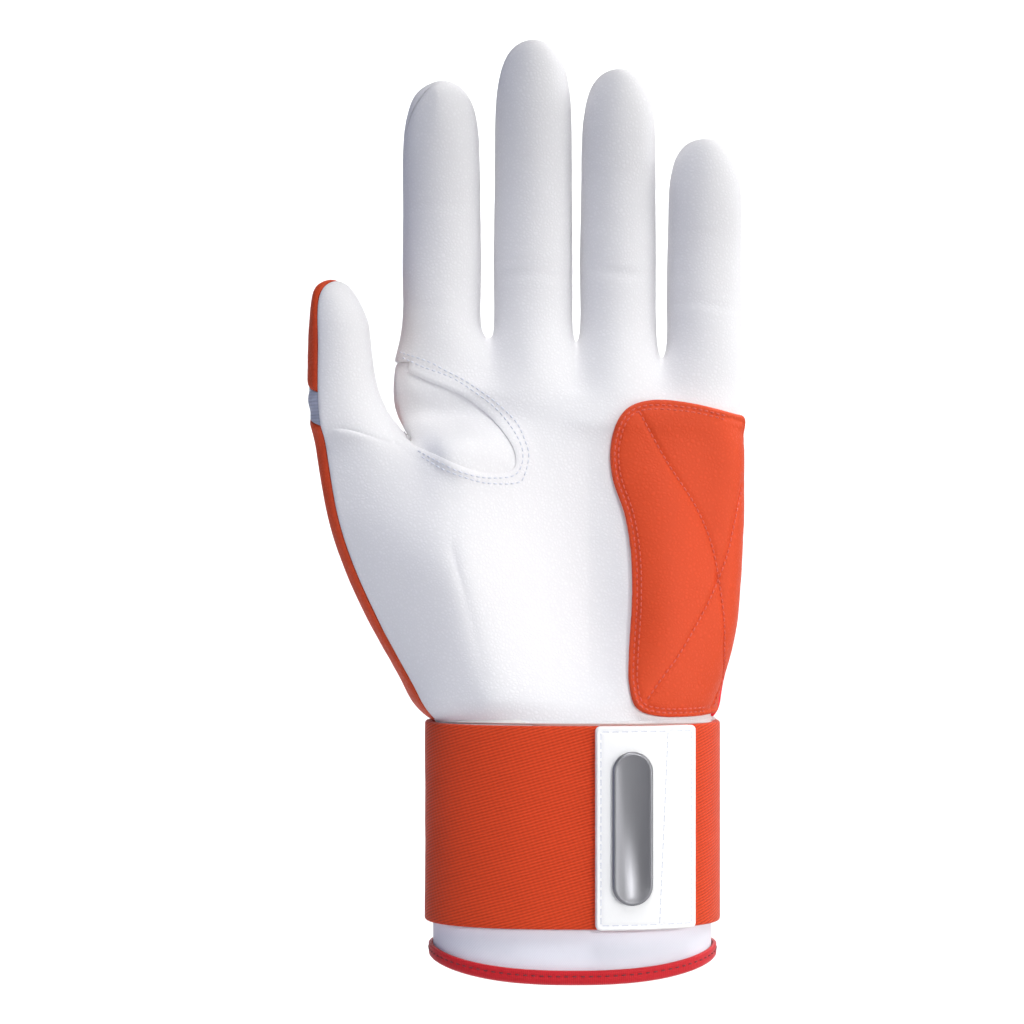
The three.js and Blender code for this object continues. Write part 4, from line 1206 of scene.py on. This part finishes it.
class GLOVE_OT_heel_pad(bpy.types.Operator):
    """Quilted heel pad of orange leather, with its two border rows and the crossed quilting rows"""

    bl_idname = "glove.heel_pad"
    bl_label = "Heel pad"

    def execute(self, context):
        form, s = hand_form(), sizes()
        blank = smooth_skin(form, PALM_PIECES, FINE)
        right = [face for face in blank.faces if blank.points[face[0]][0] > 5 * MM
                 and blank.points[face[0]][2] < 0.92 * s.web_height]
        edge_seam = self.edge_seam(blank)
        skin = Skin(blank.points, blank.normals, right)
        edge = outline_of(PAD_EDGE, 90)
        closed = [*edge, (s.palm_width, edge[-1][1]), (s.palm_width, edge[0][1])]

        def inside(points):
            past_piping = line_distance(points, edge_seam) - s.piping_radius - s.clearance
            return rounded_meeting(inside_outline(points, closed), past_piping, 2.5 * MM)

        skin = skin.trimmed(inside(skin.points))
        flat_tree = skin.raised(np.full(len(skin.points), s.clearance + s.pad_thickness)).tree()
        quilting = [laid_line(flat_tree, seen_line(row, 120), True) for row in (QUILT_DOWN, QUILT_UP)]
        depth_in = inside(skin.points)
        heights = s.clearance + s.pad_thickness * rounded_over(depth_in, 1.3 * MM)
        heights -= 0.38 * MM * dip(depth_in - 1.75 * MM, 0.85 * MM)
        heights += 0.3 * MM * (1 - np.exp(-np.clip(depth_in - 2.5 * MM, 0, None) / (3 * MM)))
        for row in quilting:
            away = line_distance(skin.points, [p for p, _ in row])
            away = np.sqrt(np.maximum(0, away**2 - (s.clearance + s.pad_thickness) ** 2))
            heights -= 0.4 * MM * dip(away, 0.8 * MM) + 0.35 * MM * dip(away, 4 * MM)
        heights += uneven(skin.points, 9 * MM, 0.1 * MM, 11)
        skin = skin.raised(heights)
        piece = leather_piece("heel_pad_leather", skin, None, s.pad_thickness,
                              [orange_embossed_leather()], "heel_pad")
        tree = skin.tree()
        rows = [laid_line(tree, drawn_line(edge, -inset * MM)[2:-1]) for inset in (1.2, 2.3)]
        rows += [laid_line(tree, seen_line(row, 120), True) for row in (QUILT_DOWN, QUILT_UP)]
        thread = bonded_thread("orange_bonded_thread", colours().orange_thread)
        stitches("heel_pad_stitches", rows, thread)
        return {"FINISHED"}

    def edge_seam(self, blank):
        """The border of the palm leather at the little finger edge."""
        ends = [(blank.points[a], blank.points[b]) for a, b in blank.rim()]
        right = [a for a, b in ends if a[0] > 30 * MM and a[2] < 0.93 * sizes().web_height]
        return sorted(right, key=lambda p: p[2])


def back_leather(form, name, node, levels, hollows, materials):
    """A panel of the hand's back, smoothed to two levels outside and inside, and a little uneven."""
    skin = smooth_skin(form, {node}, levels[0]).drawn_in(sizes().clearance / 2)
    inner = smooth_skin(form, {node}, levels[1])
    heights = seam_roll(skin) + uneven(skin.points, *hollows)
    leather_piece(name, skin.raised(heights), inner, sizes().leather, materials, node)


class GLOVE_OT_back(bpy.types.Operator):
    """Back of the hand in orange leather, finished plainly"""

    bl_idname = "glove.back"
    bl_label = "Back of the hand"

    def execute(self, context):
        back_leather(hand_form(), "back_leather", "back_panel", (OUTSIDE, INSIDE + 1),
                     (16 * MM, 0.15 * MM, 21), [orange_embossed_leather(), suede()])
        return {"FINISHED"}


class GLOVE_OT_finger_backs(bpy.types.Operator):
    """Backs of the four fingers in white leather"""

    bl_idname = "glove.finger_backs"
    bl_label = "Finger backs"

    def execute(self, context):
        form, materials = hand_form(), [white_goatskin(), suede()]
        for number, finger in enumerate(FINGERS):
            back_leather(form, "finger_leather_" + finger["name"], "finger_back_" + finger["name"],
                         (OUTSIDE, INSIDE), (12 * MM, 0.12 * MM, 31 + number), materials)
        return {"FINISHED"}


class GLOVE_OT_thumb_backs(bpy.types.Operator):
    """Orange leather over the thumb's end and the grey stretch cloth over its knuckle"""

    bl_idname = "glove.thumb_backs"
    bl_label = "Thumb back"

    def execute(self, context):
        form, s = hand_form(), sizes()
        back_leather(form, "thumb_tip_leather", "thumb_back_tip", (FINE, INSIDE),
                     (9 * MM, 0.1 * MM, 41), [orange_embossed_leather(), suede()])
        cloth = smooth_skin(form, {"thumb_knuckle_cloth"}, FINE).drawn_in(s.clearance / 2)
        puckers = 0.3 * MM * np.sin(cloth.points[:, 2] / (1.3 * MM))
        puckers *= ramp(cloth.from_rim(), 0, 2 * MM)
        piece = leather_piece("thumb_knuckle_stretch", cloth.raised(puckers - 0.5 * MM), None,
                              s.leather, [woven_cloth("grey_knitted_elastane")], "thumb_knuckle_cloth")
        wrapped_flat_map(piece)
        return {"FINISHED"}


class GLOVE_OT_piping(bpy.types.Operator):
    """Red piping along the seam at the little finger edge"""

    bl_idname = "glove.piping"
    bl_label = "Edge piping"

    def execute(self, context):
        form, s = hand_form(), sizes()
        skin = smooth_skin(form, PALM_PIECES | {"back_panel"}, INSIDE)
        near = KDTree(len(skin.points))
        for i, point in enumerate(skin.points):
            near.insert(point, i)
        near.balance()
        stand = s.piping_radius + s.clearance
        corners = []
        for i in form.edge_column:
            place = np.array(form.places[i])
            corners.append(place + stand * skin.normals[near.find(place)[1]])
        path = spline(corners, 120)
        points, flat = [], []
        sides, run = 14, 0.0
        up = np.array([0.0, -1.0, 0.0])
        for i, centre in enumerate(path):
            way = path[min(i + 1, len(path) - 1)] - path[max(i - 1, 0)]
            way /= np.linalg.norm(way)
            across = np.cross(way, up)
            across /= np.linalg.norm(across)
            out = np.cross(across, way)
            if i:
                run += np.linalg.norm(centre - path[i - 1])
            for c in range(sides):
                turn = c * math.tau / sides
                points.append(centre + s.piping_radius * (across * math.cos(turn) + out * math.sin(turn)))
                flat.append((run, turn * s.piping_radius))
        piece = new_piece("edge_piping", points, ring_faces(len(path), sides, capped=True),
                          [woven_cloth("red_satin_piping")], "ulnar_piping")
        add_flat_map(piece, flat)
        return {"FINISHED"}


class GLOVE_OT_cuff(bpy.types.Operator):
    """White cuff below the band"""

    bl_idname = "glove.cuff"
    bl_label = "Cuff"

    def execute(self, context):
        form, s = hand_form(), sizes()
        skin = smooth_skin(form, {"cuff"}, OUTSIDE)
        heights = uneven(skin.points, 16 * MM, 0.25 * MM, 51) * ramp(skin.from_rim(), 0, 5 * MM)
        piece = leather_piece("cuff_knit", skin.raised(heights), None, s.cuff_cloth,
                              [woven_cloth("white_polyester_jersey")], "cuff")
        wrapped_flat_map(piece)
        return {"FINISHED"}


class GLOVE_OT_binding(bpy.types.Operator):
    """Red tape folded over the hem, with its row of stitches"""

    bl_idname = "glove.binding"
    bl_label = "Hem binding"

    def execute(self, context):
        s = sizes()
        turns = [k * math.tau / 240 for k in range(241)]
        outer = s.clearance + s.binding_cloth
        inner = -s.cuff_cloth - s.clearance
        middle, half = (outer + inner - s.binding_cloth) / 2, (outer - inner + s.binding_cloth) / 2

        def section(turn):
            bottom = hem_height(turn)
            top = bottom + s.binding_height
            outside = [(outer, top - 0.3 * MM), (outer, top - 1.1 * MM), (outer - 0.15 * MM, top - 1.5 * MM),
                       (outer, top - 2 * MM), (outer, bottom + 1.6 * MM)]
            fold = [(middle + half * math.cos(a), bottom + 1.4 * MM - 1.4 * MM * math.sin(a))
                    for a in (math.pi * k / 10 for k in range(1, 10))]
            inside = [(inner - s.binding_cloth, bottom + 1.6 * MM), (inner - s.binding_cloth, top - 0.3 * MM),
                      (inner - s.binding_cloth + 0.3 * MM, top), (inner, top),
                      (inner, bottom + s.binding_cloth), (s.clearance, bottom + s.binding_cloth),
                      (s.clearance, top), (outer - 0.3 * MM, top)]
            return outside + fold + inside

        points, faces, flat = wrist_grid(turns, section)
        piece = new_piece("hem_binding_tape", points, faces, [woven_cloth("red_nylon_tape")],
                          "cuff_binding")
        add_flat_map(piece, flat)
        row = []
        for turn in turns:
            x, y = wrist_point(turn, outer - 0.15 * MM)
            fx, fy = wrist_point(turn, outer + 1 * MM)
            normal = np.array([fx - x, fy - y, 0])
            row.append((np.array([x, y, hem_height(turn) + s.binding_height - 1.5 * MM]),
                        normal / np.linalg.norm(normal)))
        thread = bonded_thread("dark_red_bonded_thread", colours().red_thread)
        sewn = stitches("hem_binding_stitches", [row], thread, 2.2 * MM, 1.3 * MM)
        return {"FINISHED"}


def strap_edge(inner, thickness, bottom, top, ease):
    """A strap's section with its outer edges rounded, as distances out of the wrist and heights."""
    outer = inner + thickness
    bend = [k * math.pi / 8 for k in range(5)]
    low = [(outer - ease + ease * math.sin(a), bottom + ease - ease * math.cos(a)) for a in bend]
    high = [(outer - ease + ease * math.cos(a), top - ease + ease * math.sin(a)) for a in bend]
    rows = 20
    face = [(outer, bottom + ease + (top - bottom - 2 * ease) * k / rows) for k in range(1, rows)]
    return [(inner, bottom), *low, *face, *high, (inner, top)]


class GLOVE_OT_band(bpy.types.Operator):
    """Wide woven elastic band round the wrist"""

    bl_idname = "glove.band"
    bl_label = "Wrist band"

    def execute(self, context):
        s = sizes()
        turns = [k * math.tau / 300 for k in range(301)]
        section = strap_edge(s.clearance, s.band_thickness, s.band_bottom, band_top(), 0.6 * MM)
        points, faces, flat = wrist_grid(turns, lambda turn: section)
        points = np.array(points)
        swell = uneven(points, 22 * MM, 0.18 * MM, 61)
        outwards = points * (1, 1, 0)
        outwards /= np.linalg.norm(outwards, axis=1)[:, None]
        run = np.array([u for u, _ in flat])
        free = ramp(np.minimum(run, run.max() - run), 0, 15 * MM)
        points += outwards * (swell * free)[:, None]
        piece = new_piece("band_elastic", points, faces, [woven_cloth("orange_woven_elastic")],
                          "wrist_band")
        add_flat_map(piece, flat)
        return {"FINISHED"}


TAB_COLUMNS, TAB_ROWS = 80, 150
TAB_CORNER, TAB_SEW, TAB_EASE = 1.4 * MM, 1.4 * MM, 0.5 * MM


class GLOVE_OT_tab(bpy.types.Operator):
    """White closure tab laid on the band, with its border row and an upright row"""

    bl_idname = "glove.tab"
    bl_label = "Closure tab"

    def execute(self, context):
        s = sizes()
        inner = 2 * s.clearance + s.band_thickness
        outer = inner + s.tab_thickness
        start, end = turn_at(s.tab_left + s.tab_width, outer), turn_at(s.tab_left, outer)
        turns = [start + (end - start) * k / TAB_COLUMNS for k in range(TAB_COLUMNS + 1)]
        face = [wrist_point(turn, outer) for turn in turns]
        runs = np.concatenate([[0], np.cumsum([math.dist(a, b) for a, b in zip(face, face[1:])])])
        heights = [s.band_bottom + s.band_height * k / TAB_ROWS for k in range(TAB_ROWS + 1)]
        points, normals = [], []
        for turn in turns:
            place, near, far = (np.array(wrist_point(turn, grow)) for grow in (inner, 0.0, 1.0))
            points += [(*place, z) for z in heights]
            normals += [(*(far - near), 0.0)] * len(heights)
        faces = [face[::-1] for face in ring_faces(len(turns), len(heights), closed=False)]
        skin = Skin(points, normals, faces)
        width, across = runs[-1], np.repeat(runs, len(heights))
        skin = skin.trimmed(self.inside(across, skin.points[:, 2], width) + 1e-7)
        x, z = skin.points[:, 0], skin.points[:, 2]
        places = [wrist_point(turn, inner)[0] for turn in turns]
        away = self.inside(np.interp(x, places[::-1], runs[::-1]), z, width)
        lift = s.tab_thickness - TAB_EASE * (1 - rounded_over(away, TAB_EASE))
        lift -= 0.22 * MM * dip(away - TAB_SEW, 0.4 * MM)
        lift -= 0.2 * MM * dip(x - self.upright_x(z), 0.4 * MM)
        lift += 0.12 * MM * ramp(away, 2 * MM, 3 * MM)
        skin = skin.raised(lift)
        leather_piece("tab_face", skin, None, s.tab_thickness, [white_tab_film()], "closure_tab")
        self.add_rows(skin.tree(), face[-1][0] + TAB_SEW, face[0][0] - TAB_SEW)
        return {"FINISHED"}

    def upright_x(self, z):
        """The upright row leans a little, as the tab's right part is a separate sewn strip."""
        return 24.0 * MM + 1.2 * MM * (z - 42 * MM) / (27 * MM)

    def inside(self, across, z, width):
        """Distance inside the tab's outline with its rounded corners, at a place across and up."""
        s = sizes()
        right = np.abs(across - width / 2) - width / 2 + TAB_CORNER
        up = np.abs(z - s.band_bottom - s.band_height / 2) - s.band_height / 2 + TAB_CORNER
        deepest = np.maximum(right, up)
        beyond = np.hypot(np.maximum(right, 0), np.maximum(up, 0))
        return TAB_CORNER - np.where(deepest < 0, deepest, beyond)

    def add_rows(self, tree, left, right):
        """The border row and the upright row, laid on the tab."""
        low, high = sizes().band_bottom + TAB_SEW, band_top() - TAB_SEW
        corners = [(left, low), (left, high), (right, high), (right, low), (left, low)]
        ends = [*zip(corners, corners[1:]), ((self.upright_x(low), low), (self.upright_x(high), high))]
        rows = [laid_line(tree, [(ax + (bx - ax) * k / 60, az + (bz - az) * k / 60) for k in range(61)])
                for (ax, az), (bx, bz) in ends]
        thread = bonded_thread("grey_white_bonded_thread", colours().white_thread)
        stitches("tab_stitches", rows, thread, 2.4 * MM, 1.9 * MM)


class GLOVE_OT_plate(bpy.types.Operator):
    """Blank brushed plate on the tab, with rounded ends and a polished bevel"""

    bl_idname = "glove.plate"
    bl_label = "Blank plate"

    def execute(self, context):
        s = sizes()
        face = 2 * s.clearance + s.band_thickness + s.tab_thickness
        turn = turn_at(s.tab_left + s.badge_from_tab + s.badge_width / 2, face)
        seat = np.array([*wrist_point(turn, face + s.clearance), s.band_bottom + s.band_height / 2])
        tangent = np.array(wrist_point(turn - 0.02, face)) - np.array(wrist_point(turn + 0.02, face))
        angle = math.atan2(tangent[1], tangent[0])
        along = np.array([math.cos(angle), math.sin(angle), 0.0])
        out = np.array([math.sin(angle), -math.cos(angle), 0.0])
        tall = np.array([0.0, 0.0, 1.0])
        half, straight = s.badge_width / 2, (s.badge_height - s.badge_width) / 2
        bevel, thick = s.badge_bevel, s.badge_thickness
        rings = [(0.1 * MM, 0.0), (0.0, 0.1 * MM), (0.0, thick - bevel), (bevel, thick),
                 (bevel + 0.5 * MM, thick), (bevel + 0.65 * MM, thick - 0.12 * MM)]
        points = []
        steps = 48
        for inset, height in rings:
            for c in range(2 * steps):
                a = math.pi * (c % steps) / (steps - 1)
                end = 1 if c < steps else -1
                x, z = (half - inset) * math.cos(a) * end, (half - inset) * math.sin(a) * end
                points.append(seat + along * x + tall * (z + end * straight) + out * height)
        new_piece("plate_blank", points, ring_faces(len(rings), 2 * steps, capped=True),
                  [brushed_steel()], "badge_plate")
        return {"FINISHED"}


# Lights: where each stands and what it aims at in metres, its width, power in watts and colour.
# One with a cone in degrees is a spotlight behind a soft snoot.
LIGHTS = [
    dict(name="key", place=(0.2, -0.65, 1.6), aim=(0, 0, 0.13), size=0.6, power=15.4, colour="#FFFFFF"),
    dict(name="side", place=(1.4, -0.5, 0.1), aim=(0, 0, 0.08), size=0.8, power=7.2, colour="#FFFFFF"),
    dict(name="fill", place=(-1.3, -0.5, 0.2), aim=(0, 0, 0.12), size=1.2, power=2.8, colour="#A9BEFF"),
    dict(name="palm_left", place=(-0.5, -1.1, 0.35), aim=(-0.025, 0, 0.085), size=0.3, power=25, cone=12,
         colour="#FFFFFF"),
    dict(name="palm_right", place=(0.6, -1.1, 0.35), aim=(0.02, 0, 0.06), size=0.3, power=60, cone=12,
         colour="#FFFFFF"),
    dict(name="backdrop", place=(0, 0.9, 1.0), aim=(0, 1.6, 0.12), size=0.4, power=11, colour="#FFFFFF"),
    dict(name="rim", place=(0.75, 0.35, 0.75), aim=(0, 0, 0.17), size=0.4, power=5, colour="#FFFFFF"),
]


ROOM_LIGHT = 0.02

# The sweep, in metres: height of the floor, place of the wall, radius between them and half width
FLOOR, WALL, SWEEP_RADIUS, SWEEP_HALF, SWEEP_STEPS = -0.3, 1.6, 0.6, 4.0, 24


class GLOVE_OT_stage(bpy.types.Operator):
    """White floor that sweeps up to a backdrop, soft lights and the camera at the photograph's angle"""

    bl_idname = "glove.stage"
    bl_label = "Stage"

    def execute(self, context):
        self.add_sweep()
        for light in LIGHTS:
            self.add_light(context, light)
        world = bpy.data.worlds.new("pale_room")
        world.use_nodes = True
        background = world.node_tree.nodes["Background"]
        background.inputs["Color"].default_value = linear("#DDE4FF")
        background.inputs["Strength"].default_value = ROOM_LIGHT
        context.scene.world = world
        context.scene.view_settings.view_transform = "Standard"
        eye = bpy.data.cameras.new("camera")
        eye.sensor_width = SENSOR_WIDTH
        eye.lens = FOCAL_LENGTH
        eye.clip_start, eye.clip_end = 0.01, 50
        camera = bpy.data.objects.new("camera", eye)
        camera.location = EYE
        camera.rotation_euler = (math.pi / 2, 0, 0)
        context.scene.collection.objects.link(camera)
        context.scene.camera = camera
        return {"FINISHED"}

    def add_sweep(self):
        bend = [math.pi / 2 * k / SWEEP_STEPS for k in range(SWEEP_STEPS + 1)]
        profile = [(-SWEEP_HALF, FLOOR), (-SWEEP_HALF / 2, FLOOR), (0.0, FLOOR)]
        profile += [(WALL - SWEEP_RADIUS * (1 - math.sin(a)), FLOOR + SWEEP_RADIUS * (1 - math.cos(a)))
                    for a in bend]
        profile += [(WALL, 2.0), (WALL, 3.5)]
        points = [(x, y, z) for x in (-SWEEP_HALF, SWEEP_HALF) for y, z in profile]
        count = len(profile)
        faces = [(k, k + 1, count + k + 1, count + k) for k in range(count - 1)]
        mesh = bpy.data.meshes.new("sweep")
        mesh.from_pydata(points, [], [face[::-1] for face in faces])
        mesh.polygons.foreach_set("use_smooth", [True] * len(faces))
        mesh.materials.append(painted_backdrop())
        sweep = bpy.data.objects.new("sweep", mesh)
        bpy.context.scene.collection.objects.link(sweep)

    def add_light(self, context, light):
        cone = light.get("cone")
        lamp = bpy.data.lights.new(light["name"], "SPOT" if cone else "AREA")
        if cone:
            lamp.spot_size, lamp.spot_blend = math.radians(cone), 1.0
            lamp.shadow_soft_size = light["size"] / 2
        else:
            lamp.size = light["size"]
        lamp.energy = light["power"]
        lamp.color = linear(light["colour"])[:3]
        holder = bpy.data.objects.new("light_" + light["name"], lamp)
        holder.location = light["place"]
        way = Vector(light["aim"]) - Vector(light["place"])
        holder.rotation_euler = way.to_track_quat("-Z", "Y").to_euler()
        holder.visible_camera = False
        context.scene.collection.objects.link(holder)


class GLOVE_PT_panel(bpy.types.Panel):
    """Lists the steps that build the glove, and its sizes and colours"""

    bl_label = "Batting Glove"
    bl_idname = "GLOVE_PT_panel"
    bl_space_type = "VIEW_3D"
    bl_region_type = "UI"
    bl_category = "Glove"

    def draw(self, context):
        steps = self.layout.column(align=True)
        for operator in OPERATORS:
            steps.operator(operator.bl_idname)
        for group in (context.scene.glove_sizes, context.scene.glove_colours):
            column = self.layout.column(align=True)
            for key in group.bl_rna.properties.keys():
                if key not in ("rna_type", "name"):
                    column.prop(group, key)


OPERATORS = [
    GLOVE_OT_stage, GLOVE_OT_palm, GLOVE_OT_gusset, GLOVE_OT_heel_pad, GLOVE_OT_back,
    GLOVE_OT_finger_backs, GLOVE_OT_thumb_backs, GLOVE_OT_piping, GLOVE_OT_cuff, GLOVE_OT_binding,
    GLOVE_OT_band, GLOVE_OT_tab, GLOVE_OT_plate,
]
CLASSES = [GloveSizes, GloveColours, *OPERATORS, GLOVE_PT_panel]


def register():
    for cls in CLASSES:
        bpy.utils.register_class(cls)
    bpy.types.Scene.glove_sizes = bpy.props.PointerProperty(type=GloveSizes)
    bpy.types.Scene.glove_colours = bpy.props.PointerProperty(type=GloveColours)


def unregister():
    del bpy.types.Scene.glove_sizes
    del bpy.types.Scene.glove_colours
    for cls in reversed(CLASSES):
        bpy.utils.unregister_class(cls)


def main():
    register()
    for operator in OPERATORS:
        group, step = operator.bl_idname.split(".")
        getattr(getattr(bpy.ops, group), step)()


if __name__ == "__main__":
    main()
